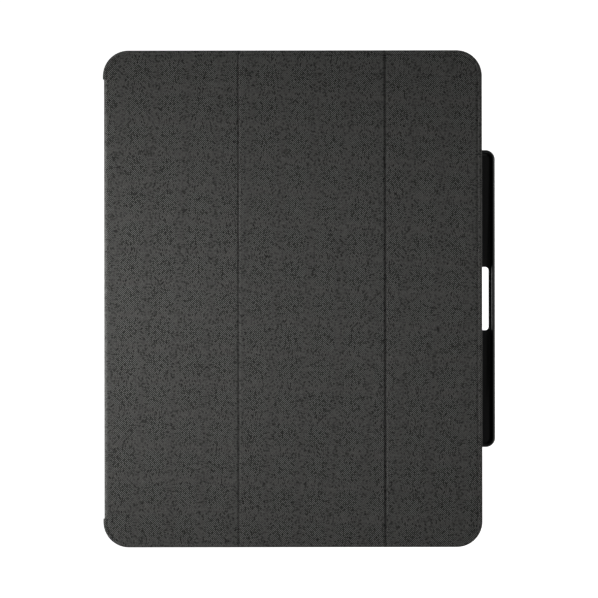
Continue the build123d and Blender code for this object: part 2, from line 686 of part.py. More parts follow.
# ---------------------------------------------------------------- write
os.makedirs("parts", exist_ok=True)
all_parts = {**shell_parts(), **spine_parts(), **panel_parts(), **keyboard_parts()}
for node, shape in all_parts.items():
    export_step(shape, f"parts/{node}.step")
print(f"{len(all_parts)} nodes")
print(f"bay {BAY_X:.2f} {BAY_Y:.2f}, rim {RIM_X:.2f} {RIM_Y:.2f} top {RIM_TOP:.2f}")
print(f"cover x {COVER_LEFT:.2f}..{COVER_RIGHT:.2f}, y {COVER_Y:.2f}, top {COVER_TOP:.2f}, spine y {SPINE_Y:.2f}")
print(f"creases {CREASE_1:.2f} {CREASE_2:.2f}, hinge x {HINGE_X:.2f} z {HINGE_HEIGHT:.2f} {PANEL_HINGE_Z:.2f}")
print(f"tray {TRAY_INSIDE:.2f}..{TRAY_OUTSIDE:.2f}, window {WINDOW_INSIDE:.2f}..{WINDOW_OUTSIDE:.2f}")
print(f"keyboard x {KEYBOARD_BACK:.2f}..{KEYBOARD_FRONT:.2f}, y {KEYBOARD_Y:.2f}, z {DECK_FACE:.2f}..{BASE_FACE:.2f}")
print(f"key unit {KEY_UNIT:.2f}, row pitch {ROW_PITCH:.2f}, key face {KEY_FACE:.2f}")
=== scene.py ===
"""Looks for a closed tri-fold keyboard folio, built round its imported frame.

The axes are the frame's own: +Z out of the cover, +X from the spine to the stylus tray, +Y along
the spine. Sizes of pieces are in millimetres in the classes below and are turned into metres when a
piece is written; finishes, lamps, floor and camera are in metres throughout.
"""

from __future__ import annotations

import json
import logging
import math
from dataclasses import dataclass, field
from enum import Enum
from typing import Callable, Iterable, Sequence

import bmesh
import bpy
from mathutils import Matrix, Vector

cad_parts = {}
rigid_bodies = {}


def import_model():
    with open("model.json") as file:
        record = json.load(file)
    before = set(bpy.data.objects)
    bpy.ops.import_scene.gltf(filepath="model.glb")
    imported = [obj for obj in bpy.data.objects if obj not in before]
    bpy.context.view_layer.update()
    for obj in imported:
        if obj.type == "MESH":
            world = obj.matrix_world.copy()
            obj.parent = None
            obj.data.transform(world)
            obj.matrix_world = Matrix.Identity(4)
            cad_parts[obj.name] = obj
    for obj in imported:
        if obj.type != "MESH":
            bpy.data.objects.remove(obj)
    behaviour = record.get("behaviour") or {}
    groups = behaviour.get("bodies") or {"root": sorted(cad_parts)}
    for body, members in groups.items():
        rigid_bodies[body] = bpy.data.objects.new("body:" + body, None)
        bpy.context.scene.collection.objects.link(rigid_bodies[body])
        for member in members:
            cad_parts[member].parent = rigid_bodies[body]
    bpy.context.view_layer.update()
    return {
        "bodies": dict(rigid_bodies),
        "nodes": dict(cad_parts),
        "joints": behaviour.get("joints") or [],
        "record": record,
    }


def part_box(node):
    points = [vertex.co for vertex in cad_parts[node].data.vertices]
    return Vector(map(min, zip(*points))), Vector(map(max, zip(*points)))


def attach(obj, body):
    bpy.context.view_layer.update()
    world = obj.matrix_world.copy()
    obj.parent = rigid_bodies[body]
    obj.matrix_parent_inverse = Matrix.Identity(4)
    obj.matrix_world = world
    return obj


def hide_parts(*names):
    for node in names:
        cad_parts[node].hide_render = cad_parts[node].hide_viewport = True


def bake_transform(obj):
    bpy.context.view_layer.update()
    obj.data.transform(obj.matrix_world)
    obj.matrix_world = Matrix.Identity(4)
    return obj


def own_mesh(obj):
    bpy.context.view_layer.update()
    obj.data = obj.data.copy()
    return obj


MM = 0.001
SAME_SPOT = 1e-6  # metres: corners closer than this are one
ON_PLANE = 1e-3  # millimetres: how near a point is to a cut to lie on it
CUT_REACH = 1e-5  # millimetres: how near a cut takes over a point that is there
COPY_SEED = 7  # seed of the copies' random turns
MIDDLE = (0.3, 0.7)  # where most of a noise's values lie
LOG = logging.getLogger("folio")
FRAME: dict = {}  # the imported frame, filled by main()
Point = tuple[float, float]
Socket = bpy.types.NodeSocket


class Body(str, Enum):
    """The frame's bodies that new pieces ride on."""

    SHELL = "shell"
    SPINE = "spine"
    INNER = "inner_panel"
    MIDDLE = "middle_panel"
    OUTER = "outer_panel"
    KEYBOARD = "keyboard"


class Slot(str, Enum):
    """The record's material slots that new pieces take their finish from."""

    CLOTH = "cover_fabric"
    LINING = "lining"
    TRAY = "tray_tpu"
    KEYCAP = "keycap"
    DOME = "dome_rubber"
    PAD = "bumper_pad"
    SCREW = "screw_steel"


# ---------------------------------------------------------------- node wiring
class Graph:
    """Short calls for adding and linking the nodes of one tree."""

    def __init__(self, tree: bpy.types.NodeTree) -> None:
        """Wraps a tree.

        Args:
            tree: The node tree to add to.
        """
        self.tree = tree

    def put(self, socket: Socket, value: object) -> None:
        """Links a socket into an input, or sets the input's own value.

        Args:
            socket: The input socket.
            value: Another node's output, or a plain value.
        """
        if isinstance(value, bpy.types.NodeSocket):
            self.tree.links.new(value, socket)
        elif value is not None:
            socket.default_value = value

    def feed(self, node: bpy.types.Node, inputs: dict[object, object]) -> None:
        """Puts values or sockets into a node's inputs.

        Args:
            node: The node.
            inputs: Values or sockets by input name or index.
        """
        for key, value in inputs.items():
            self.put(node.inputs[key], value)

    def node(self, kind: str, inputs: dict[object, object] | None = None, **settings: object) -> bpy.types.Node:
        """Adds a node.

        Args:
            kind: The node's type name.
            inputs: Values or sockets by input name or index.
            settings: The node's own settings.

        Returns:
            The new node.
        """
        made = self.tree.nodes.new(kind)
        for key, value in settings.items():
            setattr(made, key, value)
        self.feed(made, inputs or {})
        return made

    def math(self, operation: str, a: object, b: object = None, c: object = None) -> Socket:
        """Adds a Math node and returns its value.

        Args:
            operation: The Math node's operation.
            a: First operand.
            b: Second operand.
            c: Third operand.

        Returns:
            The result's socket.
        """
        return self.node("ShaderNodeMath", {0: a, 1: b, 2: c}, operation=operation).outputs[0]

    def span(self, value: Socket, low: float, high: float, to_low: float = 0.0, to_high: float = 1.0) -> Socket:
        """Maps a value from one range to another, held at its ends.

        Args:
            value: The value.
            low: Start of its range.
            high: End of its range.
            to_low: Result at the start.
            to_high: Result at the end.

        Returns:
            The mapped value.
        """
        return self.node("ShaderNodeMapRange", {0: value, 1: low, 2: high, 3: to_low, 4: to_high}).outputs[0]

    def blend(self, share: object, first: object, second: object) -> Socket:
        """Mixes two colours.

        Args:
            share: How much of the second.
            first: First colour.
            second: Second colour.

        Returns:
            The mixed colour.
        """
        return self.node("ShaderNodeMix", {0: share, 6: first, 7: second}, data_type="RGBA").outputs[2]

    def noise(self, where: Socket, scale: float, detail: float = 2.0, rough: float = 0.5) -> Socket:
        """Adds a noise and returns its factor.

        Args:
            where: Coordinates.
            scale: Noise scale.
            detail: Octaves.
            rough: How strong the fine octaves are.

        Returns:
            The noise's factor.
        """
        look = {"Vector": where, "Scale": scale, "Detail": detail, "Roughness": rough}
        return self.node("ShaderNodeTexNoise", look).outputs[0]

    def stretched(self, where: Socket, x: float, y: float, z: float) -> Socket:
        """Scales coordinates by a different amount along each axis.

        Args:
            where: Coordinates.
            x: Scale along x.
            y: Scale along y.
            z: Scale along z.

        Returns:
            The scaled coordinates.
        """
        return self.node("ShaderNodeMapping", {"Vector": where, "Scale": (x, y, z)}).outputs[0]

    def group(self, tree: bpy.types.NodeTree, inputs: dict[str, object]) -> bpy.types.Node:
        """Places a shared group.

        Args:
            tree: The group.
            inputs: Values or sockets by input name.

        Returns:
            The group node.
        """
        return self.node("ShaderNodeGroup", inputs, node_tree=tree)


def shared_group(
    name: str, inputs: dict[str, float | None], outputs: Sequence[str]
) -> tuple[bpy.types.NodeTree, Graph, bpy.types.Node, bpy.types.Node]:
    """Starts a shader group with named inputs and outputs.

    Args:
        name: The group's name.
        inputs: Input names, with None for a vector and a number for a value's default.
        outputs: Names of its value outputs.

    Returns:
        The tree, its graph, and its input and output nodes.
    """
    tree = bpy.data.node_groups.new(name, "ShaderNodeTree")
    for key, default in inputs.items():
        kind = "NodeSocketVector" if default is None else "NodeSocketFloat"
        made = tree.interface.new_socket(name=key, in_out="INPUT", socket_type=kind)
        if default is not None:
            made.default_value = default
    for key in outputs:
        tree.interface.new_socket(name=key, in_out="OUTPUT", socket_type="NodeSocketFloat")
    return tree, Graph(tree), tree.nodes.new("NodeGroupInput"), tree.nodes.new("NodeGroupOutput")


class SharedEffects:
    """The shader groups that several finishes use. Scales are per metre."""

    WANDER_SCALE = 190.0
    FIBRE_SCALE = 4200.0
    FIBRE_HEIGHT = 0.35
    SLUB_SCALE = 420.0
    YARN_STEP = 7.31
    YARN_RUN = 0.16
    SECOND_YARN = 37.0
    NAP_SCALE = 5200.0
    STROKE_SCALE = 70.0
    LINE_SCALE = 3500.0
    SMUDGE_SCALE = 38.0
    DUST_SCALE = 2600.0

    def __init__(self) -> None:
        """Builds every group once."""
        self.weave = self._weave()
        self.grain = self._grain()
        self.nap = self._nap()
        self.brushing = self._brushing()
        self.handling = self._handling()

    def _weave(self) -> bpy.types.NodeTree:
        """Plain weave of uneven melange yarn.

        Returns:
            A group with the thread's height, its tone and its slubs.
        """
        tree, g, start, end = shared_group(
            "woven_yarn",
            {"Vector": None, "Pitch": 0.0005, "Unevenness": 0.25, "Flecks": 0.5, "Two Tone": 0.4},
            ("Height", "Tone", "Slub"),
        )
        where = start.outputs["Vector"]
        wander = g.noise(where, self.WANDER_SCALE)
        drift = g.math("MULTIPLY", g.math("SUBTRACT", wander, 0.5), start.outputs["Unevenness"])
        parts = g.node("ShaderNodeSeparateXYZ", {0: where})
        threads = [g.math("DIVIDE", parts.outputs[axis], start.outputs["Pitch"]) for axis in (0, 1)]
        along = [g.math("ADD", thread, drift) for thread in threads]
        heights, tones = [], []
        for own, other, seed in ((0, 1, 0.0), (1, 0, self.SECOND_YARN)):
            index = g.math("FLOOR", along[own])
            crown = g.math("SINE", g.math("MULTIPLY", g.math("FRACT", along[own]), math.pi))
            phase = g.math("ADD", g.math("SUBTRACT", along[other], 0.5), g.math("ADD", index, own))
            lift = g.math("COSINE", g.math("MULTIPLY", phase, math.pi))
            heights.append(g.math("MULTIPLY", crown, g.math("MULTIPLY_ADD", lift, 0.5, 0.5)))
            across = g.math("MULTIPLY", index, self.YARN_STEP)
            lengthwise = g.math("MULTIPLY", along[other], self.YARN_RUN)
            yarn = g.node("ShaderNodeCombineXYZ", {0: across, 1: lengthwise, 2: seed})
            tones.append(g.noise(yarn.outputs[0], 1.0, 2.0, 0.6))
        over = g.math("GREATER_THAN", heights[0], heights[1])
        yarn_tone = g.node("ShaderNodeMix", {0: over, 2: tones[1], 3: tones[0]}, data_type="FLOAT").outputs[0]
        cell = [g.math("FLOOR", run) for run in along]
        crossing = g.node("ShaderNodeCombineXYZ", {0: cell[0], 1: cell[1], 2: 0.5}).outputs[0]
        fleck = g.node("ShaderNodeTexWhiteNoise", {0: crossing}, noise_dimensions="3D").outputs["Value"]
        tone = g.math("MULTIPLY_ADD", g.math("SUBTRACT", fleck, 0.5), start.outputs["Flecks"], yarn_tone)
        tone = g.math("MULTIPLY_ADD", g.math("SUBTRACT", over, 0.5), start.outputs["Two Tone"], tone)
        fibres = g.noise(where, self.FIBRE_SCALE, 2.0, 0.7)
        height = g.math("MULTIPLY_ADD", fibres, self.FIBRE_HEIGHT, g.math("MAXIMUM", *heights))
        slub = g.noise(g.stretched(where, 0.35, 1.0, 1.0), self.SLUB_SCALE, 3.0, 0.7)
        g.feed(end, {"Height": height, "Tone": g.span(tone, 0.12, 0.88), "Slub": g.span(slub, *MIDDLE)})
        return tree

    def _grain(self) -> bpy.types.NodeTree:
        """Moulded grain.

        Returns:
            A group with the grain's height and tone.
        """
        tree, g, start, end = shared_group("moulded_grain", {"Vector": None, "Size": 0.0004}, ("Height", "Tone"))
        where = start.outputs["Vector"]
        scale = g.math("DIVIDE", 1.0, start.outputs["Size"])
        cells = g.node("ShaderNodeTexVoronoi", {"Vector": where, "Scale": scale}, feature="SMOOTH_F1")
        soft = g.noise(where, g.math("MULTIPLY", scale, 0.4), 4.0)
        height = g.math("MULTIPLY_ADD", soft, 0.6, cells.outputs["Distance"])
        g.feed(end, {"Height": height, "Tone": g.span(height, 0.3, 1.1)})
        return tree

    def _nap(self) -> bpy.types.NodeTree:
        """Brushed pile of the microfibre lining.

        Returns:
            A group with the pile's height and tone.
        """
        tree, g, start, end = shared_group("brushed_nap", {"Vector": None}, ("Height", "Tone"))
        where = start.outputs["Vector"]
        fibres = g.noise(g.stretched(where, 1.0, 0.3, 1.0), self.NAP_SCALE, 3.0, 0.7)
        strokes = g.noise(g.stretched(where, 1.0, 0.35, 1.0), self.STROKE_SCALE, 3.0, 0.6)
        height = g.math("MULTIPLY_ADD", strokes, 0.5, fibres)
        half_tone = g.math("MULTIPLY", g.span(strokes, *MIDDLE), 0.5)
        tone = g.math("MULTIPLY_ADD", g.span(fibres, *MIDDLE), 0.5, half_tone)
        g.feed(end, {"Height": height, "Tone": tone})
        return tree

    def _brushing(self) -> bpy.types.NodeTree:
        """Fine lines of rolled or brushed metal.

        Returns:
            A group with the lines' height and tone.
        """
        tree, g, start, end = shared_group("brushed_lines", {"Vector": None, "Fineness": 1.0}, ("Height", "Tone"))
        where = g.stretched(start.outputs["Vector"], 1.0, 0.03, 1.0)
        lines = g.noise(where, g.math("MULTIPLY", start.outputs["Fineness"], self.LINE_SCALE), 3.0)
        g.feed(end, {"Height": lines, "Tone": g.span(lines, *MIDDLE)})
        return tree

    def _handling(self) -> bpy.types.NodeTree:
        """Faint marks that handling leaves: smudges and fine dust.

        Returns:
            A group with a smudge mask and a dust mask.
        """
        tree, g, start, end = shared_group("handling_marks", {"Vector": None, "Amount": 0.5}, ("Smudge", "Dust"))
        where, amount = start.outputs["Vector"], start.outputs["Amount"]
        smudge = g.span(g.noise(where, self.SMUDGE_SCALE, 4.0, 0.6), 0.45, 0.7)
        dust = g.span(g.noise(where, self.DUST_SCALE, 2.0, 0.8), 0.66, 0.78)
        g.feed(end, {"Smudge": g.math("MULTIPLY", smudge, amount), "Dust": g.math("MULTIPLY", dust, amount)})
        return tree


# ---------------------------------------------------------------- finishes
Colour = tuple[float, float, float, float]
WHITE: Colour = (1.0, 1.0, 1.0, 1.0)


def grey(level: float, warm: float = 0.0) -> Colour:
    """A near grey, a little warm where asked.

    Args:
        level: Linear level.
        warm: Share by which blue is lower.

    Returns:
        The colour.
    """
    return (level, level, level * (1.0 - warm), 1.0)


def shaded(colour: Colour, factor: float) -> Colour:
    """A colour made darker or lighter, held at white."""
    return tuple(min(part * factor, 1.0) for part in colour[:3]) + (1.0,)


@dataclass(frozen=True)
class Finish:
    """What every finish has: a name and a way to lay its nodes."""

    name: str

    def build(self, effects: SharedEffects) -> bpy.types.Material:
        """Makes the material.

        Args:
            effects: The shared shader groups.

        Returns:
            The material.
        """
        material = bpy.data.materials.new(self.name)
        material.use_nodes = True
        graph = Graph(material.node_tree)
        shader = material.node_tree.nodes["Principled BSDF"]
        self.lay(graph, shader, effects)
        return material

    def lay(self, g: Graph, shader: bpy.types.Node, effects: SharedEffects) -> None:
        """Lays the finish's nodes; each finish has its own."""
        raise NotImplementedError

    @staticmethod
    def relief(g: Graph, shader: bpy.types.Node, height: Socket, depth: float, strength: float) -> None:
        """Feeds a height into the shader's normal.

        Args:
            g: The material's graph.
            shader: The Principled node.
            height: Height, about 0 to 1.
            depth: Relief depth in metres.
            strength: Bump strength.
        """
        bump = g.node("ShaderNodeBump", {"Height": height, "Distance": depth, "Strength": strength})
        g.put(shader.inputs["Normal"], bump.outputs[0])


@dataclass(frozen=True)
class HeatherCloth(Finish):
    """Melange polyester cloth, pressed at its creases and rubbed at its edges, with painted shade in its weave's
    hollows, along its creases and along its hem line.
    """

    dark: Colour
    light: Colour
    rubbed: Colour
    pitch: float = 0.0006
    unevenness: float = 0.14
    flecks: float = 0.8
    two_tone: float = 0.9
    slubs: float = 0.12
    dark_bias: float = 2.5
    # painted shade: near-black colour for the weave's hollows, the creases and the hem line
    hollow: Colour = grey(0.004)
    dust: Colour = grey(0.25)
    # how far the painted shade of the creases and the hem line darkens the yarn
    press_loss: float = 0.48
    depth: float = 0.00016

    def lay(self, g: Graph, shader: bpy.types.Node, effects: SharedEffects) -> None:
        """Lays the woven yarn with painted shade in its hollows, painted shade along the pressed creases and the hem
        line, and the rubbed hem.
        """
        where = g.node("ShaderNodeUVMap", uv_map="cloth").outputs[0]
        yarn = g.group(effects.weave, {
            "Vector": where, "Pitch": self.pitch, "Unevenness": self.unevenness, "Flecks": self.flecks,
            "Two Tone": self.two_tone,
        })
        height = yarn.outputs["Height"]
        plain = g.math("MULTIPLY", yarn.outputs["Tone"], 1.0 - self.slubs)
        tone = g.math("MULTIPLY_ADD", yarn.outputs["Slub"], self.slubs, plain)
        shade = g.math("POWER", g.span(tone, 0.0, 0.95), self.dark_bias)
        colour = g.blend(shade, self.dark, self.light)
        # painted shade: the yarn darkens towards the hollow colour where the weave lies low
        lit = g.span(height, 0.15, 0.75, 0.62, 1.0)
        # the pressed layer holds painted shade along the creases and the hem line
        pressed = g.node("ShaderNodeAttribute", attribute_name="pressed").outputs["Fac"]
        lit = g.math("MULTIPLY", lit, g.math("MULTIPLY_ADD", pressed, -self.press_loss, 1.0))
        colour = g.blend(lit, self.hollow, colour)
        hem = g.node("ShaderNodeAttribute", attribute_name="hem").outputs["Fac"]
        worn = g.math("MULTIPLY", hem, g.span(g.noise(where, 900.0, 3.0, 0.7), 0.35, 0.75, 0.1, 0.55))
        colour = g.blend(worn, colour, self.rubbed)
        marks = g.group(effects.handling, {"Vector": where, "Amount": 0.10})
        g.feed(shader, {
            "Base Color": g.blend(marks.outputs["Dust"], colour, self.dust),
            "Roughness": g.span(height, 0.0, 1.2, 0.95, 0.72), "Specular IOR Level": 0.25,
            "Sheen Weight": 0.12, "Sheen Roughness": 0.5,
        })
        self.relief(g, shader, height, self.depth, 0.75)


@dataclass(frozen=True)
class Microfibre(Finish):
    """Brushed lining."""

    dark: Colour
    light: Colour

    def lay(self, g: Graph, shader: bpy.types.Node, effects: SharedEffects) -> None:
        """Lays the brushed pile."""
        where = g.node("ShaderNodeUVMap", uv_map="cloth").outputs[0]
        nap = g.group(effects.nap, {"Vector": where})
        g.feed(shader, {
            "Base Color": g.blend(nap.outputs["Tone"], self.dark, self.light), "Roughness": 0.9,
            "Specular IOR Level": 0.2, "Sheen Weight": 0.3,
        })
        self.relief(g, shader, nap.outputs["Height"], 0.00008, 0.6)


@dataclass(frozen=True)
class Moulded(Finish):
    """Moulded plastic or rubber with its mould's grain."""

    colour: Colour
    roughness: float
    grain_size: float = 0.00035
    grain_depth: float = 0.00003
    tone_spread: float = 0.25
    coat: float = 0.0
    smudge: float = 0.25
    specular: float = 0.5

    def lay(self, g: Graph, shader: bpy.types.Node, effects: SharedEffects) -> None:
        """Lays the mould's grain and the marks of handling."""
        where = g.node("ShaderNodeTexCoord").outputs["Object"]
        grain = g.group(effects.grain, {"Vector": where, "Size": self.grain_size})
        low, high = (shaded(self.colour, 1.0 + side * self.tone_spread) for side in (-1, 1))
        colour = g.blend(grain.outputs["Tone"], low, high)
        marks = g.group(effects.handling, {"Vector": where, "Amount": self.smudge})
        colour = g.blend(g.math("MULTIPLY", marks.outputs["Dust"], 0.5), colour, grey(0.3))
        rough = g.math("MULTIPLY_ADD", marks.outputs["Smudge"], 0.18, self.roughness)
        g.feed(shader, {
            "Base Color": colour, "Roughness": rough, "Specular IOR Level": self.specular,
            "Coat Weight": self.coat, "Coat Roughness": 0.12,
        })
        self.relief(g, shader, grain.outputs["Height"], self.grain_depth, 0.5)


@dataclass(frozen=True)
class Metal(Finish):
    """Rolled, plated or blackened metal."""

    colour: Colour
    roughness: float
    fineness: float = 1.0

    def lay(self, g: Graph, shader: bpy.types.Node, effects: SharedEffects) -> None:
        """Lays the rolling lines and a little handling."""
        where = g.node("ShaderNodeTexCoord").outputs["Object"]
        lines = g.group(effects.brushing, {"Vector": where, "Fineness": self.fineness})
        marks = g.group(effects.handling, {"Vector": where, "Amount": 0.4})
        g.feed(shader, {
            "Base Color": g.blend(lines.outputs["Tone"], shaded(self.colour, 0.72), self.colour), "Metallic": 1.0,
            "Roughness": g.math("MULTIPLY_ADD", marks.outputs["Smudge"], 0.2, self.roughness),
        })
        self.relief(g, shader, lines.outputs["Height"], 0.00001, 0.4)


@dataclass(frozen=True)
class FibreBoard(Finish):
    """Pressed grey board with visible fibres."""

    dark: Colour
    light: Colour

    def lay(self, g: Graph, shader: bpy.types.Node, effects: SharedEffects) -> None:
        """Lays short crossing fibres over a mottled ground."""
        where = g.node("ShaderNodeTexCoord").outputs["Object"]
        one = g.noise(g.stretched(where, 1.0, 0.15, 1.0), 1500.0, 3.0, 0.6)
        two = g.noise(g.stretched(where, 0.15, 1.0, 1.0), 1300.0, 3.0, 0.6)
        fibres = g.math("MAXIMUM", one, two)
        colour = g.blend(g.span(fibres, 0.4, 0.75), self.dark, self.light)
        g.feed(shader, {"Base Color": colour, "Roughness": 0.9})
        self.relief(g, shader, fibres, 0.00004, 0.6)


@dataclass(frozen=True)
class PrintedFilm(Finish):
    """Film or board with printed conductors on it."""

    ground: Colour
    trace: Colour
    pitch: float
    trace_share: float
    roughness: float

    def lay(self, g: Graph, shader: bpy.types.Node, effects: SharedEffects) -> None:
        """Lays runs of printed conductor that turn from cell to cell."""
        where = g.node("ShaderNodeTexCoord").outputs["Object"]
        flat = g.stretched(where, 1.0, 1.0, 0.0)
        runs = g.node("ShaderNodeTexBrick", {
            "Vector": flat, "Scale": 1.0, "Mortar Size": self.pitch * self.trace_share, "Mortar Smooth": 0.1,
            "Brick Width": self.pitch * 6.0, "Row Height": self.pitch,
        }).outputs["Fac"]
        rough = g.span(runs, 0.0, 1.0, self.roughness, self.roughness * 0.7)
        g.feed(shader, {"Base Color": g.blend(runs, self.ground, self.trace), "Roughness": rough})
        self.relief(g, shader, runs, 0.00002, 0.6)


@dataclass(frozen=True)
class CrinkledFoil(Finish):
    """Laminated foil of the cell's pouch."""

    colour: Colour

    def lay(self, g: Graph, shader: bpy.types.Node, effects: SharedEffects) -> None:
        """Lays shallow crinkles in soft metal."""
        where = g.node("ShaderNodeTexCoord").outputs["Object"]
        crinkle = g.noise(where, 420.0, 5.0, 0.6)
        colour = g.blend(g.span(crinkle, *MIDDLE), grey(0.42), self.colour)
        g.feed(shader, {"Base Color": colour, "Metallic": 0.85, "Roughness": 0.38})
        self.relief(g, shader, crinkle, 0.00015, 0.5)


@dataclass(frozen=True)
class LightPipe(Finish):
    """Clear window over an indicator."""

    colour: Colour

    def lay(self, g: Graph, shader: bpy.types.Node, effects: SharedEffects) -> None:
        """Lays a milky clear plastic."""
        where = g.node("ShaderNodeTexCoord").outputs["Object"]
        haze = g.noise(where, 1800.0, 2.0)
        colour = g.blend(g.span(haze, *MIDDLE), grey(0.5), self.colour)
        g.feed(shader, {"Base Color": colour, "Roughness": 0.2, "Transmission Weight": 0.35})


FINISHES: dict[str, Finish] = {
    "cover_fabric": HeatherCloth(
        "heather_charcoal_cloth", dark=grey(0.004, 0.02), light=grey(0.25, 0.05), rubbed=grey(0.10, 0.08)
    ),
    "lining": Microfibre("charcoal_microfibre", dark=grey(0.045), light=grey(0.10)),
    "board": FibreBoard("grey_fibre_board", dark=grey(0.2, 0.12), light=grey(0.38, 0.12)),
    "back_plate": Moulded("textured_back_plastic", grey(0.022), 0.5, grain_size=0.0006, grain_depth=0.00006),
    "bumper_tpu": Moulded("satin_bumper_plastic", grey(0.016), 0.42, grain_size=0.0003, grain_depth=0.00002),
    "tray_tpu": Moulded(
        "glossy_tray_plastic", (0.0105, 0.0120, 0.0118, 1.0), 0.30, grain_size=0.0011, grain_depth=0.00001,
        tone_spread=0.2, coat=0.7, smudge=0.3,
    ),
    "steel": Metal("cold_rolled_steel", grey(0.55), 0.35),
    "magnet": Metal("nickel_plating", grey(0.62, 0.04), 0.22, fineness=0.6),
    "keyboard_case": Moulded("matt_keyboard_plastic", grey(0.034), 0.48, grain_size=0.00028, grain_depth=0.00002),
    "keycap": Moulded(
        "matt_keycap_plastic", grey(0.018), 0.45, grain_size=0.0002, grain_depth=0.00001, tone_spread=0.15
    ),
    "membrane": PrintedFilm(
        "printed_membrane_film", ground=grey(0.7, 0.05), trace=grey(0.42), pitch=0.0021, trace_share=0.16,
        roughness=0.35,
    ),
    "dome_rubber": Moulded(
        "milky_dome_rubber", grey(0.62, 0.04), 0.5, grain_size=0.0004, grain_depth=0.00001, tone_spread=0.05
    ),
    "battery_foil": CrinkledFoil("pouch_foil", grey(0.6)),
    "circuit_board": PrintedFilm(
        "solder_masked_board", ground=(0.012, 0.085, 0.035, 1.0), trace=(0.03, 0.19, 0.08, 1.0), pitch=0.0009,
        trace_share=0.2, roughness=0.3,
    ),
    "switch_body": Metal("stamped_switch_can", grey(0.5), 0.3, fineness=1.4),
    "light_window": LightPipe("milky_light_pipe", (0.8, 0.85, 0.8, 1.0)),
    "bumper_pad": Moulded("soft_pad_silicone", grey(0.02), 0.6, grain_size=0.0003, grain_depth=0.00001),
    "screw_steel": Metal("black_zinc", grey(0.09), 0.35, fineness=1.5),
    "legend_ink": Moulded(
        "legend_ink", grey(0.6), 0.55, grain_size=0.0003, grain_depth=0.000004, tone_spread=0.05
    ),
}


# ---------------------------------------------------------------- mesh tools
def add_object(name: str, data: bpy.types.ID | None) -> bpy.types.Object:
    """Puts new data into the scene as an object."""
    obj = bpy.data.objects.new(name, data)
    bpy.context.scene.collection.objects.link(obj)
    return obj


def evaluated_mesh(obj: bpy.types.Object) -> bpy.types.Mesh:
    """A plain copy of the mesh that an object's modifiers or letters make."""
    bpy.context.view_layer.update()
    return bpy.data.meshes.new_from_object(obj.evaluated_get(bpy.context.evaluated_depsgraph_get()))


def finish_mesh(obj: bpy.types.Object, material: bpy.types.Material, sharp: float = 50.0) -> bpy.types.Object:
    """Gives a piece its material and smooth shading with crisp corners.

    Args:
        obj: The piece.
        material: Its material.
        sharp: Angle in degrees from which an edge stays crisp.

    Returns:
        The same piece.
    """
    obj.data.materials.clear()
    obj.data.materials.append(material)
    obj.data.shade_smooth()
    obj.data.set_sharp_from_angle(angle=math.radians(sharp))
    return obj


def piece_from(bm: bmesh.types.BMesh, name: str) -> bpy.types.Object:
    """Writes a bmesh, whose sizes are in millimetres, to a new piece in metres.

    Args:
        bm: The bmesh; it is freed.
        name: The piece's name.

    Returns:
        The new piece.
    """
    bmesh.ops.scale(bm, vec=(MM, MM, MM), verts=bm.verts)
    for layer in bm.loops.layers.uv.values():
        for face in bm.faces:
            for loop in face.loops:
                loop[layer].uv *= MM
    mesh = bpy.data.meshes.new(name)
    bm.to_mesh(mesh)
    bm.free()
    return add_object(name, mesh)


def closed_piece(bm: bmesh.types.BMesh, name: str) -> bpy.types.Object:
    """Turns a closed bmesh's faces outwards and writes it to a new piece."""
    bmesh.ops.recalc_face_normals(bm, faces=bm.faces)
    return piece_from(bm, name)


@dataclass(frozen=True)
class Outline:
    """A rounded rectangle that can be offset inwards, in millimetres."""

    x0: float
    x1: float
    y0: float
    y1: float
    corner: float
    steps: int
    smallest_corner: float = 0.05

    def ring(self, inset: float) -> list[Point]:
        """Points round the outline, offset inwards.

        Args:
            inset: How far inwards.

        Returns:
            The points, counter-clockwise from above.
        """
        radius = max(self.corner - inset, self.smallest_corner)
        right, left = self.x1 - inset - radius, self.x0 + inset + radius
        back, front = self.y1 - inset - radius, self.y0 + inset + radius
        points = []
        for cx, cy, turn in ((right, back, 0.0), (left, back, 0.5), (left, front, 1.0), (right, front, 1.5)):
            for step in range(self.steps + 1):
                angle = math.pi * (turn + 0.5 * step / self.steps)
                points.append((cx + radius * math.cos(angle), cy + radius * math.sin(angle)))
        return points


def join_rings(bm: bmesh.types.BMesh, rings: Sequence[Sequence[bmesh.types.BMVert]]) -> list[bmesh.types.BMFace]:
    """Skins the gaps between rings of points, each with as many as the next.

    Args:
        bm: The bmesh to add to.
        rings: The rings, in order.

    Returns:
        The new faces.
    """
    faces = []
    for low, high in zip(rings, rings[1:]):
        for i in range(len(low)):
            j = (i + 1) % len(low)
            faces.append(bm.faces.new((low[i], low[j], high[j], high[i])))
    return faces


def lay_weave(
    faces: Iterable[bmesh.types.BMFace], uv: bmesh.types.BMLayerItem, maps: dict[bmesh.types.BMVert, Point]
) -> None:
    """Writes each point's flat place into the corners of its faces."""
    for face in faces:
        for loop in face.loops:
            loop[uv].uv = maps[loop.vert]


def stack_rings(bm: bmesh.types.BMesh, outline: Outline, profile: Sequence[Point]) -> None:
    """Joins offset rings of an outline into a skin, capped at both ends.

    Args:
        bm: The bmesh to add to.
        outline: The outline.
        profile: Inset and height of each ring, in order.
    """
    uv = bm.loops.layers.uv.verify()
    run, runs = 0.0, []
    for index, (inset, z) in enumerate(profile):
        if index:
            run += math.dist((inset, z), profile[index - 1])
        runs.append(run)
    total = runs[-1]
    flat_insets = [profile[-1][0] - (total - r) for r in runs]
    rings, maps = [], {}
    for (inset, z), flat in zip(profile, flat_insets):
        ring = [bm.verts.new((x, y, z)) for x, y in outline.ring(inset)]
        for vert, spot in zip(ring, outline.ring(flat)):
            maps[vert] = spot
        rings.append(ring)
    faces = join_rings(bm, rings)
    faces += [bm.faces.new(rings[-1]), bm.faces.new(list(reversed(rings[0])))]
    lay_weave(faces, uv, maps)


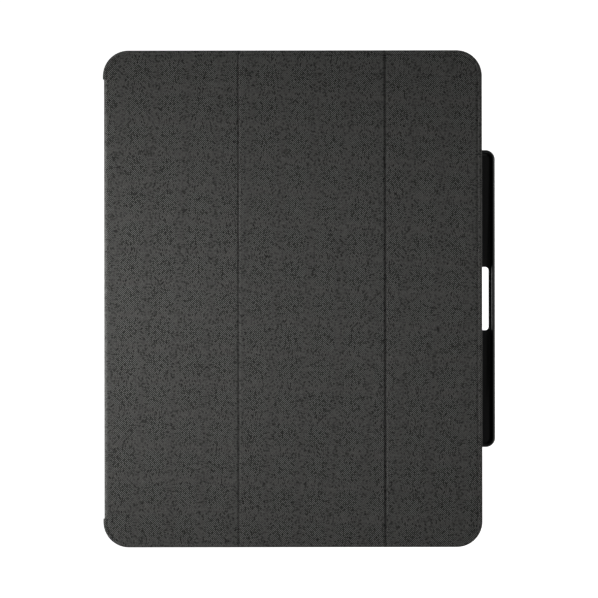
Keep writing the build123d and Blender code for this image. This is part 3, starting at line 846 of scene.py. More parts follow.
def plane_cut(bm: bmesh.types.BMesh, axis: int, at: float, faces: Iterable[bmesh.types.BMFace] | None = None) -> None:
    """Cuts edges into a mesh along a plane.

    Args:
        bm: The bmesh.
        axis: 0 for a plane across x, 1 across y.
        at: Where on that axis.
        faces: Faces to cut, or all of them.
    """
    chosen = list(bm.faces if faces is None else faces)
    geometry = set(chosen)
    for face in chosen:
        geometry.update(face.edges)
        geometry.update(face.verts)
    where, normal = Vector(), Vector()
    where[axis], normal[axis] = at, 1.0
    bmesh.ops.bisect_plane(bm, geom=list(geometry), dist=CUT_REACH, plane_co=where, plane_no=normal)


def keep_where(bm: bmesh.types.BMesh, wanted: Callable[[Vector], bool]) -> None:
    """Deletes the faces whose middle isn't wanted.

    Args:
        bm: The bmesh.
        wanted: Says whether a face's middle stays.
    """
    gone = [f for f in bm.faces if not wanted(f.calc_center_bounds())]
    bmesh.ops.delete(bm, geom=gone, context="FACES")


def close_cuts(bm: bmesh.types.BMesh, planes: Sequence[tuple[int, float]]) -> None:
    """Closes the flat openings that cuts have left.

    Args:
        bm: The bmesh.
        planes: Axis and place of each cut.
    """
    def on(vert: bmesh.types.BMVert, axis: int, at: float) -> bool:
        """Whether a point lies on a plane."""
        return abs(vert.co[axis] - at) < ON_PLANE

    rim = {v for e in bm.edges if e.is_boundary for v in e.verts}
    corners: dict[Point, list[bmesh.types.BMVert]] = {}
    for vert in rim:
        if sum(on(vert, axis, at) for axis, at in planes) > 1:
            corners.setdefault((round(vert.co.x, 2), round(vert.co.y, 2)), []).append(vert)
    for pair in corners.values():
        if len(pair) == 2 and not bm.edges.get(pair):
            bm.edges.new(pair)
    for axis, at in planes:
        edges = [e for e in bm.edges if len(e.link_faces) < 2 and all(on(v, axis, at) for v in e.verts)]
        if edges:
            bmesh.ops.edgenet_fill(bm, edges=edges)
    bmesh.ops.recalc_face_normals(bm, faces=bm.faces)


def offset_path(path: Sequence[Point], thickness: float) -> list[Point]:
    """The path's other side, to the left of its direction.

    Args:
        path: Points of the path.
        thickness: Distance to the other side.

    Returns:
        The offset points.
    """
    moved = []
    for index, (x, z) in enumerate(path):
        before = path[max(index - 1, 0)]
        after = path[min(index + 1, len(path) - 1)]
        dx, dz = after[0] - before[0], after[1] - before[1]
        length = math.hypot(dx, dz)
        moved.append((x - dz / length * thickness, z + dx / length * thickness))
    return moved


def swept_strip(
    name: str, path: Sequence[Point], thickness: float, half_y: float, u_start: float, rows: int = 30
) -> bpy.types.Object:
    """A strip of cloth that follows a path across the hinge and runs along it.

    Args:
        name: The piece's name.
        path: x and z of its outer face.
        thickness: The cloth's thickness, laid to the left of the path.
        half_y: Half its length along y.
        u_start: The weave's coordinate at the path's first point.
        rows: Number of steps along y.

    Returns:
        The strip.
    """
    bm = bmesh.new()
    uv = bm.loops.layers.uv.new("cloth")
    inner = offset_path(path, thickness)
    section = list(path) + list(reversed(inner))
    runs = [u_start]
    for first, second in zip(path, path[1:]):
        runs.append(runs[-1] + math.dist(first, second))
    runs += list(reversed(runs))
    maps, rings = {}, []
    for row in range(rows + 1):
        y = -half_y + 2 * half_y * row / rows
        ring = [bm.verts.new((x, y, z)) for x, z in section]
        maps.update({vert: (u, y) for vert, u in zip(ring, runs)})
        rings.append(ring)
    faces = [bm.faces.new(rings[0]), bm.faces.new(rings[-1])]
    lay_weave(faces + join_rings(bm, rings), uv, maps)
    return closed_piece(bm, name)


def arc(cx: float, cz: float, radius: float, start: float, end: float, steps: int = 10) -> list[Point]:
    """Points on an arc in the x-z plane.

    Args:
        cx: Centre x.
        cz: Centre z.
        radius: Radius.
        start: First angle in degrees, from +X towards +Z.
        end: Last angle in degrees.
        steps: Number of steps.

    Returns:
        The points.
    """
    angles = [math.radians(start + (end - start) * i / steps) for i in range(steps + 1)]
    return [(cx + radius * math.cos(a), cz + radius * math.sin(a)) for a in angles]


def solid_boxes(node: str) -> list[tuple[Vector, Vector]]:
    """The box of each separate solid of a frame node, in millimetres.

    Args:
        node: The node's name.

    Returns:
        Lowest and highest corner of each solid.
    """
    bm = bmesh.new()
    bm.from_mesh(FRAME["nodes"][node].data)
    bmesh.ops.remove_doubles(bm, verts=bm.verts, dist=SAME_SPOT)
    boxes, seen = [], set()
    for first in bm.verts:
        if first in seen:
            continue
        island, waiting = [], [first]
        seen.add(first)
        while waiting:
            vert = waiting.pop()
            island.append(vert.co)
            for edge in vert.link_edges:
                other = edge.other_vert(vert)
                if other not in seen:
                    seen.add(other)
                    waiting.append(other)
        low = Vector(min(c[i] for c in island) for i in range(3)) / MM
        high = Vector(max(c[i] for c in island) for i in range(3)) / MM
        boxes.append((low, high))
    bm.free()
    return boxes


def standing_spots(boxes: Sequence[tuple[Vector, Vector]]) -> list[Vector]:
    """The middle of the lowest face of each box."""
    return [Vector(((low.x + high.x) / 2, (low.y + high.y) / 2, low.z)) for low, high in boxes]


class CopyPlacer:
    """A Geometry Nodes tree that sets a master shape on given places."""

    def __init__(self) -> None:
        """Builds the tree with its named inputs."""
        tree = bpy.data.node_groups.new("set_on_places", "GeometryNodeTree")
        inputs = {
            "Places": "Geometry", "Master": "Object", "Size": "Float", "Turn Spread": "Float", "Seed": "Int",
            "Finish": "Material",
        }
        for name, kind in inputs.items():
            tree.interface.new_socket(name=name, in_out="INPUT", socket_type=f"NodeSocket{kind}")
        tree.interface.new_socket(name="Copies", in_out="OUTPUT", socket_type="NodeSocketGeometry")
        g = Graph(tree)
        start, end = tree.nodes.new("NodeGroupInput"), tree.nodes.new("NodeGroupOutput")
        master = g.node("GeometryNodeObjectInfo", {"Object": start.outputs["Master"]})
        turning = {"Max": start.outputs["Turn Spread"], "Seed": start.outputs["Seed"]}
        turn = g.node("FunctionNodeRandomValue", turning, data_type="FLOAT")
        lean = g.node("ShaderNodeCombineXYZ", {2: turn.outputs[1]})
        points = g.node("GeometryNodeMeshToPoints", {"Mesh": start.outputs["Places"]})
        copies = g.node("GeometryNodeInstanceOnPoints", {
            "Points": points.outputs[0], "Instance": master.outputs["Geometry"], "Rotation": lean.outputs[0],
            "Scale": start.outputs["Size"],
        })
        real = g.node("GeometryNodeRealizeInstances", {0: copies.outputs[0]})
        finish = {"Geometry": real.outputs[0], "Material": start.outputs["Finish"]}
        dressed = g.node("GeometryNodeSetMaterial", finish)
        g.put(end.inputs[0], dressed.outputs[0])
        self.tree = tree

    def place(
        self, name: str, master: bpy.types.Object, spots: Sequence[Vector], material: bpy.types.Material,
        turn_spread: float = 0.0,
    ) -> bpy.types.Object:
        """Sets copies of a master on spots and returns them as one plain mesh.

        Args:
            name: The new piece's name.
            master: The shape, built about its own origin.
            spots: Places in millimetres.
            material: The copies' material.
            turn_spread: How far copies turn at random, in radians.

        Returns:
            The new piece.
        """
        points = bpy.data.meshes.new(name + "_places")
        points.from_pydata([tuple(s * MM) for s in spots], [], [])
        holder = add_object(name + "_places", points)
        modifier = holder.modifiers.new("copies", "NODES")
        modifier.node_group = self.tree
        keys = {item.name: item.identifier for item in self.tree.interface.items_tree if item.item_type == "SOCKET"}
        choices = {
            "Master": master, "Size": 1.0, "Turn Spread": turn_spread, "Seed": COPY_SEED, "Finish": material
        }
        for key, value in choices.items():
            modifier[keys[key]] = value
        mesh = evaluated_mesh(holder)
        mesh.name = name
        obj = add_object(name, mesh)
        bpy.data.objects.remove(holder)
        bpy.data.objects.remove(master)
        return finish_mesh(obj, material, sharp=40.0)


def turned_master(
    name: str, profile: Sequence[Point], sides: int, lobed_from: int | None = None, lobe: float = 0.14
) -> bpy.types.Object:
    """A closed turned shape about the z axis, standing on its own origin.

    Args:
        name: The master's name.
        profile: Radius and height in order along its skin, in millimetres; both ends are capped.
        sides: Number of sides.
        lobed_from: First point of the profile that has six lobes, if any.
        lobe: Share of the radius by which lobes stand out.

    Returns:
        The master object.
    """
    bm = bmesh.new()
    rings = []
    for index, (radius, z) in enumerate(profile):
        depth = lobe if lobed_from is not None and index >= lobed_from else 0.0
        ring = []
        for i in range(sides):
            a = 2 * math.pi * i / sides
            r = radius * (1.0 + depth * math.cos(6 * a))
            ring.append(bm.verts.new((r * math.cos(a), r * math.sin(a), z)))
        rings.append(ring)
    join_rings(bm, rings)
    bm.faces.new(rings[-1])
    bm.faces.new(list(reversed(rings[0])))
    return closed_piece(bm, name)


# ---------------------------------------------------------------- the workshop
class Workshop:
    """Holds the finishes and does what every sub-assembly needs."""

    WELD_REACH = 0.000002  # metres
    FLAT_ANGLE = 0.6  # degrees: faces that differ by less are one
    EDGE_ANGLE = 40.0  # degrees: edges sharper than this are rounded

    def __init__(self) -> None:
        """Builds the shared effects, every finish and the copy placer."""
        effects = SharedEffects()
        self.materials = {slot: finish.build(effects) for slot, finish in FINISHES.items()}
        self.placer = CopyPlacer()

    def finish_of(self, slot: Slot) -> bpy.types.Material:
        """The finish of a material slot."""
        return self.materials[slot.value]

    def dress_node(self, node: str, slot: str, soften: float = 0.0, segments: int = 2) -> None:
        """Gives a carried-over node its finish and, where asked, rounds its edges.

        Args:
            node: The node's name.
            slot: Its material slot.
            soften: Edge rounding in millimetres.
            segments: Steps of that rounding.
        """
        obj = FRAME["nodes"][node]
        for entry in obj.material_slots:
            entry.material = self.materials[slot]
        if soften:
            weld = obj.modifiers.new("join", "WELD")
            weld.merge_threshold = self.WELD_REACH
            flat = obj.modifiers.new("flat faces", "DECIMATE")
            flat.decimate_type = "DISSOLVE"
            flat.angle_limit = math.radians(self.FLAT_ANGLE)
            bevel = obj.modifiers.new("rounded edges", "BEVEL")
            bevel.width = soften * MM
            bevel.segments = segments
            bevel.limit_method = "ANGLE"
            bevel.angle_limit = math.radians(self.EDGE_ANGLE)
            bevel.harden_normals = True
            bevel.use_clamp_overlap = False

    def settle(self, obj: bpy.types.Object, body: str, slot: str, *nodes: str) -> bpy.types.Object:
        """Puts a finished piece on its body, in place of frame nodes.

        Args:
            obj: The piece.
            body: The body it rides on.
            slot: Its material slot; not used.
            nodes: The frame nodes it stands for.

        Returns:
            The same piece.
        """
        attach(obj, body)
        if nodes:
            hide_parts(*nodes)
        LOG.info("%s rides on %s", obj.name, body)
        return obj

    def bend(
        self, obj: bpy.types.Object, bodies: tuple[str, str], start: Point, end: Point, slot: str, *nodes: str
    ) -> bpy.types.Object:
        """Bakes a finished strip's place into its mesh, in place of frame nodes; the strip rides on neither body and
        does not bend.

        Args:
            obj: The strip.
            bodies: The two bodies.
            start: x and z where the bend starts, in millimetres; not used.
            end: x and z where it ends; not used.
            slot: Its material slot; not used.
            nodes: The frame nodes it stands for.

        Returns:
            The same strip.
        """
        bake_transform(obj)
        if nodes:
            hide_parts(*nodes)
        LOG.info("%s bends between %s and %s", obj.name, *bodies)
        return obj


def millimetre_box(node: str) -> tuple[Vector, Vector]:
    """A frame node's box in millimetres.

    Args:
        node: The node's name.

    Returns:
        Its lowest and highest corner.
    """
    low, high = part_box(node)
    return Vector(low) / MM, Vector(high) / MM


# ---------------------------------------------------------------- cover
LINING_STEP = 0.5  # millimetres by which the spine's lining stops short of its cloth, at each end


@dataclass(frozen=True)
class Crease:
    """A pressed fold across the cover, with painted shade along its bottom."""

    x: float
    depth: float
    half_width: float
    # share of painted shade at the crease's bottom
    darkness: float

    def drop(self, x: float) -> float:
        """Share of the crease's depth at a place across it.

        Args:
            x: Where across the cover.

        Returns:
            From 0 beside the crease to 1 at its bottom.
        """
        reach = min(abs(x - self.x) / self.half_width, 1.0)
        return 0.5 * (1.0 + math.cos(math.pi * reach))


@dataclass
class Cover:
    """The three-panel cover: pressed cloth outside, microfibre inside."""

    shop: Workshop
    strip: float = 2.0  # half width of the strips at the creases
    hinge_join_x: float = -106.0
    corner: float = 14.9
    corner_steps: int = 20
    flat_inset: float = 4.8
    rub_reach: float = 1.3
    hem_line: float = 2.45
    hem_line_reach: float = 0.75
    hem_line_shade: float = 0.3
    press_reach: float = 0.45  # how far below the top a crease still presses points down
    crease_steps: tuple[float, ...] = (0.2, 0.45, 0.7, 0.95, 1.2, 1.5)
    low: Vector = field(init=False)
    high: Vector = field(init=False)
    creases: tuple[Crease, Crease] = field(init=False)
    slit_y: float = field(init=False)

    def __post_init__(self) -> None:
        """Reads the cover's places from the frame."""
        inner = millimetre_box("inner_panel_fabric")
        outer = millimetre_box("outer_panel_fabric")
        middle = millimetre_box("middle_panel_fabric")
        self.low, self.high = inner[0], outer[1]
        first = (inner[1].x + middle[0].x) / 2
        second = (middle[1].x + outer[0].x) / 2
        self.creases = (
            Crease(first, depth=0.26, half_width=1.2, darkness=0.45),
            Crease(second, depth=0.42, half_width=1.35, darkness=1.0),
        )
        self.slit_y = millimetre_box("spine_fabric")[1].y

    def outline(self, inset: float) -> Outline:
        """The cover's outline, or a sheet's inside it.

        Args:
            inset: How far inside.

        Returns:
            The outline.
        """
        low, high = self.low, self.high
        return Outline(
            low.x + inset, high.x - inset, low.y + inset, high.y - inset, self.corner - inset, self.corner_steps
        )

    def cloth_skin(self) -> bmesh.types.BMesh:
        """The whole outer cloth as one closed skin: turned hem, edge roll and pressed line, with painted shade along
        that line.

        Returns:
            The skin in millimetres.
        """
        top = self.high.z
        bottom = self.low.z
        turned = [
            (1.50, bottom + 0.02), (1.45, bottom - 0.20), (1.15, bottom - 0.33), (0.62, bottom - 0.32),
            (0.26, bottom - 0.16), (0.06, bottom + 0.16), (0.0, bottom + 0.62), (0.05, bottom + 1.06),
            (0.20, bottom + 1.38), (0.45, bottom + 1.60), (0.80, top - 0.09), (1.20, top - 0.03),
            (1.60, top - 0.04), (1.95, top - 0.12), (2.25, top - 0.24), (2.50, top - 0.27),
            (2.75, top - 0.20), (3.10, top - 0.09), (3.60, top - 0.02), (4.30, top), (self.flat_inset, top),
        ]
        inside = [
            (self.flat_inset, top - 0.6), (1.30, top - 0.6), (1.05, top - 0.8), (1.05, bottom + 0.2),
            (1.32, bottom + 0.05),
        ]
        bm = bmesh.new()
        bm.loops.layers.uv.new("cloth")
        hem = bm.verts.layers.float.new("hem")
        pressed = bm.verts.layers.float.new("pressed")
        profile = inside + turned
        stack_rings(bm, self.outline(0.0), profile)
        count = len(bm.verts) // len(profile)
        bm.verts.ensure_lookup_table()
        for index, (inset, z) in enumerate(profile[len(inside):], start=len(inside)):
            rubbed = max(0.0, 1.0 - inset / self.rub_reach) if z > bottom else 0.2
            # painted shade: the cloth darkens along the pressed hem line's groove
            sunk = max(0.0, 1.0 - abs(inset - self.hem_line) / self.hem_line_reach)
            for vert in bm.verts[index * count:(index + 1) * count]:
                vert[hem] = rubbed
                vert[pressed] = self.hem_line_shade * sunk
        bmesh.ops.recalc_face_normals(bm, faces=bm.faces)
        return bm

    def lining_skin(self) -> bmesh.types.BMesh:
        """The whole lining as one closed skin with a soft cut edge.

        Returns:
            The skin in millimetres.
        """
        low, high = millimetre_box("middle_panel_lining")
        inset = low.y - self.low.y
        profile = [
            (3.0, high.z), (0.05, high.z), (0.0, high.z - 0.14), (0.10, low.z + 0.08), (0.35, low.z + 0.01),
            (0.9, low.z), (3.0, low.z),
        ]
        bm = bmesh.new()
        bm.loops.layers.uv.new("cloth")
        stack_rings(bm, self.outline(inset), profile)
        bmesh.ops.recalc_face_normals(bm, faces=bm.faces)
        return bm

    def press_creases(self, bm: bmesh.types.BMesh) -> None:
        """Cuts the creases' lines into a cloth skin, presses them in and writes painted shade along them into its
        pressed layer.

        Args:
            bm: The skin.
        """
        pressed = bm.verts.layers.float.get("pressed")
        for crease in self.creases:
            for offset in (0.0,) + self.crease_steps + (self.strip,):
                for side in (-1, 1) if offset else (1,):
                    plane_cut(bm, 0, crease.x + side * offset)
            if pressed is None:
                continue
            for vert in bm.verts:
                if abs(vert.co.x - crease.x) < crease.half_width and vert.co.z > self.high.z - self.press_reach:
                    share = crease.drop(vert.co.x)
                    vert.co.z -= crease.depth * share
                    # painted shade: the crease's groove is darkened in the cloth's colour
                    vert[pressed] = max(vert[pressed], crease.darkness * share)

    def part_of(
        self, skin: bmesh.types.BMesh, name: str, x0: float | None, x1: float | None, slit: float | None = None
    ) -> bpy.types.Object:
        """One piece of a skin, between two planes across it, closed at its cuts.

        Args:
            skin: The whole skin, which is left as it is.
            name: The piece's name.
            x0: Its start, or None for the skin's own edge.
            x1: Its end, or None.
            slit: Half length of the spine's strip, where the piece gives way to it.

        Returns:
            The piece.
        """
        bm = skin.copy()
        planes = [(0, x) for x in (x0, x1) if x is not None]
        keep_where(bm, lambda c: (x0 is None or c.x > x0) and (x1 is None or c.x < x1))
        if slit is not None:
            plane_cut(bm, 0, self.hinge_join_x)
            for side in (-1, 1):
                beside = [f for f in bm.faces if f.calc_center_bounds().x < self.hinge_join_x]
                plane_cut(bm, 1, side * slit, beside)
            keep_where(bm, lambda c: c.x > self.hinge_join_x or abs(c.y) > slit)
            planes += [(0, self.hinge_join_x), (1, slit), (1, -slit)]
        close_cuts(bm, planes)
        return piece_from(bm, name)

    def sheets(self, kind: str, skin: bmesh.types.BMesh, slot: Slot, nodes: str, slit: float) -> None:
        """Makes the three panels and two crease strips of one layer.

        Args:
            kind: Word for the layer in the pieces' names.
            skin: The layer's whole skin.
            slot: Its material slot.
            nodes: Name pattern of the frame nodes it stands for.
            slit: Half length of the spine's strip.
        """
        first, second = (c.x for c in self.creases)
        s = self.strip
        material = self.shop.finish_of(slot)
        folds = {"inner": (Body.INNER, Body.MIDDLE, first), "outer": (Body.MIDDLE, Body.OUTER, second)}
        z = self.high.z
        for fold, (near, far, x) in folds.items():
            obj = finish_mesh(self.part_of(skin, f"{fold}_crease_{kind}", x - s, x + s), material)
            start = x - s if slot is Slot.CLOTH else x  # the lining's strip is given its start at the crease itself; bend does not use it
            self.shop.bend(obj, (near.value, far.value), (start, z), (x + s, z), slot.value)
        spans = {
            "inner": (Body.INNER, None, first - s, slit), "middle": (Body.MIDDLE, first + s, second - s, None),
            "outer": (Body.OUTER, second + s, None, None),
        }
        for panel, (body, x0, x1, cut) in spans.items():
            obj = finish_mesh(self.part_of(skin, f"{panel}_panel_{kind}", x0, x1, cut), material)
            self.shop.settle(obj, body.value, slot.value, nodes.format(panel))
            start, end = self.low.x if x0 is None else x0, self.high.x if x1 is None else x1

    def build(self) -> None:
        """Makes the cloth and the lining of the cover."""
        layers = (
            ("cloth", self.cloth_skin(), Slot.CLOTH, "{}_panel_fabric", self.slit_y),
            ("microfibre", self.lining_skin(), Slot.LINING, "{}_panel_lining", self.slit_y - LINING_STEP),
        )
        for kind, skin, slot, nodes, slit in layers:
            self.press_creases(skin)
            self.sheets(kind, skin, slot, nodes, slit)
            skin.free()
        for panel in ("inner", "middle", "outer"):
            self.shop.dress_node(f"{panel}_panel_board", "board")


@dataclass
class Spine:
    """The spine between shell and cover, with its two strips over the hinges."""

    shop: Workshop
    cover: Cover
    cloth: float = 0.5
    lining: float = 0.28
    join_z: float = 8.2
    lower_bend: float = 1.5
    upper_bend: float = 2.3
    lining_bend: float = 1.3
    back_z: float = 0.02  # the flange's outer face
    weave_offset: float = -200.0  # keeps the lower strip's weave apart from the cover's

    def build(self) -> None:
        """Makes the spine's cloth and lining."""
        low, high = millimetre_box("spine_fabric")
        flange = millimetre_box("back_flange_fabric")
        top = self.cover.high.z
        outside, half = low.x, high.y
        join = self.cover.hinge_join_x
        cloth = self.shop.finish_of(Slot.CLOTH)

        lower = [(outside, z) for z in (self.join_z, 7.0, 5.5, 4.0, 2.8)]
        lower += arc(outside + self.lower_bend, self.lower_bend + self.back_z, self.lower_bend, 180, 270)
        lower += [(x, self.back_z) for x in (-106.5, -104.0, -98.0, -90.0, -84.0, flange[1].x)]
        start = self.weave_offset - self.path_length(lower)
        obj = swept_strip("lower_hinge_cloth", lower, self.cloth, half, start)
        finish_mesh(obj, cloth)
        self.shop.bend(
            obj, (Body.SHELL.value, Body.SPINE.value), (outside + 1.7, 0.0), (outside, 2.4), Slot.CLOTH.value,
            "back_flange_fabric", "spine_fabric",
        )

        upper = [(join, top), (-106.6, top)]
        upper += arc(outside + self.upper_bend, top - self.upper_bend, self.upper_bend, 90, 180, 14)
        upper += [(outside, z) for z in (14.5, 13.0, 11.0, 9.5, self.join_z)]
        upper.reverse()
        start = join - self.path_length(upper)
        obj = finish_mesh(swept_strip("upper_hinge_cloth", upper, -self.cloth, half, start), cloth)
        self.shop.bend(
            obj, (Body.SPINE.value, Body.INNER.value), (outside + 0.1, top - 2.4), (outside + 2.1, top - 0.1),
            Slot.CLOTH.value,
        )
        self.build_lining(half)

    def build_lining(self, half: float) -> None:
        """Makes the microfibre up the spine's inside and over the hinge.

        Args:
            half: Half the spine's length.
        """
        low, high = millimetre_box("spine_lining")
        face = millimetre_box("middle_panel_lining")[0].z
        inside, bend = high.x, self.lining_bend
        path = [(inside, z) for z in (low.z, 3.0, 5.0, 8.0, 11.0, 12.6)]
        path += arc(inside + bend, face - bend, bend, 180, 90, 8)
        path += [(-106.7, face), (self.cover.hinge_join_x, face)]
        start = self.cover.hinge_join_x - self.path_length(path)
        obj = swept_strip("spine_microfibre", path, self.lining, half - LINING_STEP, start)
        finish_mesh(obj, self.shop.finish_of(Slot.LINING))
        self.shop.bend(
            obj, (Body.SPINE.value, Body.INNER.value), (inside, face - 2.0), (inside + 1.9, face), Slot.LINING.value,
            "spine_lining",
        )
        self.shop.dress_node("spine_stiffener", "board")

    @staticmethod
    def path_length(path: Sequence[Point]) -> float:
        """Length along a path."""
        return sum(math.dist(a, b) for a, b in zip(path, path[1:]))


# ---------------------------------------------------------------- shell
@dataclass
class Shell:
    """Back plate, bumper, camera ring, stylus tray, keeper strip and the button covers."""

    shop: Workshop
    lip_drop: float = 0.02
    wall: float = 1.2
    outer_corner: float = 5.5
    window_corner: float = 2.0
    window_width: float = 5.0
    window_half_length: float = 18.4
    window_margin: float = 3.7  # from the tray's outer edge

    def tray_moulding(self) -> bpy.types.Object:
        """The stylus tray: rounded lip, wall that curves into the floor, and a push-out window.

        Returns:
            The tray.
        """
        low, high = millimetre_box("stylus_tray")
        top, w = high.z - self.lip_drop, self.wall
        outline = Outline(low.x - 2 * self.outer_corner, high.x, low.y, high.y, self.outer_corner, 16)
        profile = [
            (6.0, 0.0), (0.55, 0.0), (0.22, 0.06), (0.05, 0.25), (0.0, 0.6), (0.0, top - 1.1), (0.06, top - 0.78),
            (0.22, top - 0.42), (0.48, top - 0.17), (0.80, top - 0.03), (1.10, top), (1.40, top - 0.08),
            (1.66, top - 0.30), (1.80, top - 0.62), (1.76, top - 0.95), (1.55, top - 1.35), (w + 0.12, top - 1.8),
            (w, top - 2.4), (w + 0.04, 3.9), (w + 0.14, 2.9), (w + 0.42, 2.0),
            (w + 0.85, 1.35), (w + 1.4, 0.93), (w + 2.0, 0.74), (w + 2.6, 0.7), (6.0, 0.7),
        ]
        bm = bmesh.new()
        stack_rings(bm, outline, profile)
        plane_cut(bm, 0, low.x)
        keep_where(bm, lambda c: c.x > low.x)
        close_cuts(bm, [(0, low.x)])
        tray = piece_from(bm, "stylus_tray_moulding")

        cutter = self.window_punch(high.x - self.window_margin)
        cut = tray.modifiers.new("window", "BOOLEAN")
        cut.operation, cut.solver, cut.object = "DIFFERENCE", "EXACT", cutter
        mesh = evaluated_mesh(tray)
        tray.modifiers.clear()
        tray.data = mesh
        bpy.data.objects.remove(cutter)
        return finish_mesh(tray, self.shop.finish_of(Slot.TRAY), sharp=40.0)

    def window_punch(self, right: float) -> bpy.types.Object:
        """The shape cut out of the tray's floor, wider towards the stylus.

        Args:
            right: The window's far side in x.

        Returns:
            The cutter.
        """
        half = self.window_half_length
        hole = Outline(right - self.window_width, right, -half, half, self.window_corner, 8)
        bm = bmesh.new()
        stack_rings(bm, hole, [(0.0, -1.0), (0.0, 0.42), (-0.12, 0.62), (-0.3, 0.72), (-0.3, 1.5)])
        return closed_piece(bm, "window_punch")

    def build(self) -> None:
        """Dresses the shell's own nodes and makes the tray."""
        dress = self.shop.dress_node
        dress("back_plate", "back_plate", soften=0.15)
        dress("bumper_frame", "bumper_tpu", soften=0.22, segments=3)
        self.shop.settle(self.tray_moulding(), Body.SHELL.value, Slot.TRAY.value, "stylus_tray")
        dress("camera_ring", "bumper_tpu", soften=0.2, segments=3)
        dress("stand_keeper_strip", "steel")
        for node in ("volume_up_cover", "volume_down_cover", "power_button_cover"):
            dress(node, "bumper_tpu", soften=0.3, segments=4)


# ---------------------------------------------------------------- keyboard
class KeyGroup(Enum):
    """Key groups: node and body name, press joint, and legends from the typist's left."""

    FUNCTION = ("function_keys", "function_keys_press", "")
    NUMBER = ("number_keys", "number_keys_press", "`1234567890-=")
    UPPER = ("upper_letter_keys", "upper_keys_press", " QWERTYUIOP[]\\")
    HOME = ("home_keys", "home_keys_press", " ASDFGHJKL;'")
    LOWER = ("lower_letter_keys", "lower_keys_press", " ZXCVBNM,./")
    MODIFIER = ("modifier_keys", "modifier_keys_press", "")
    SPACE = ("space_bar", "space_bar_press", "")
    ARROW = ("arrow_keys", "arrow_keys_press", "")


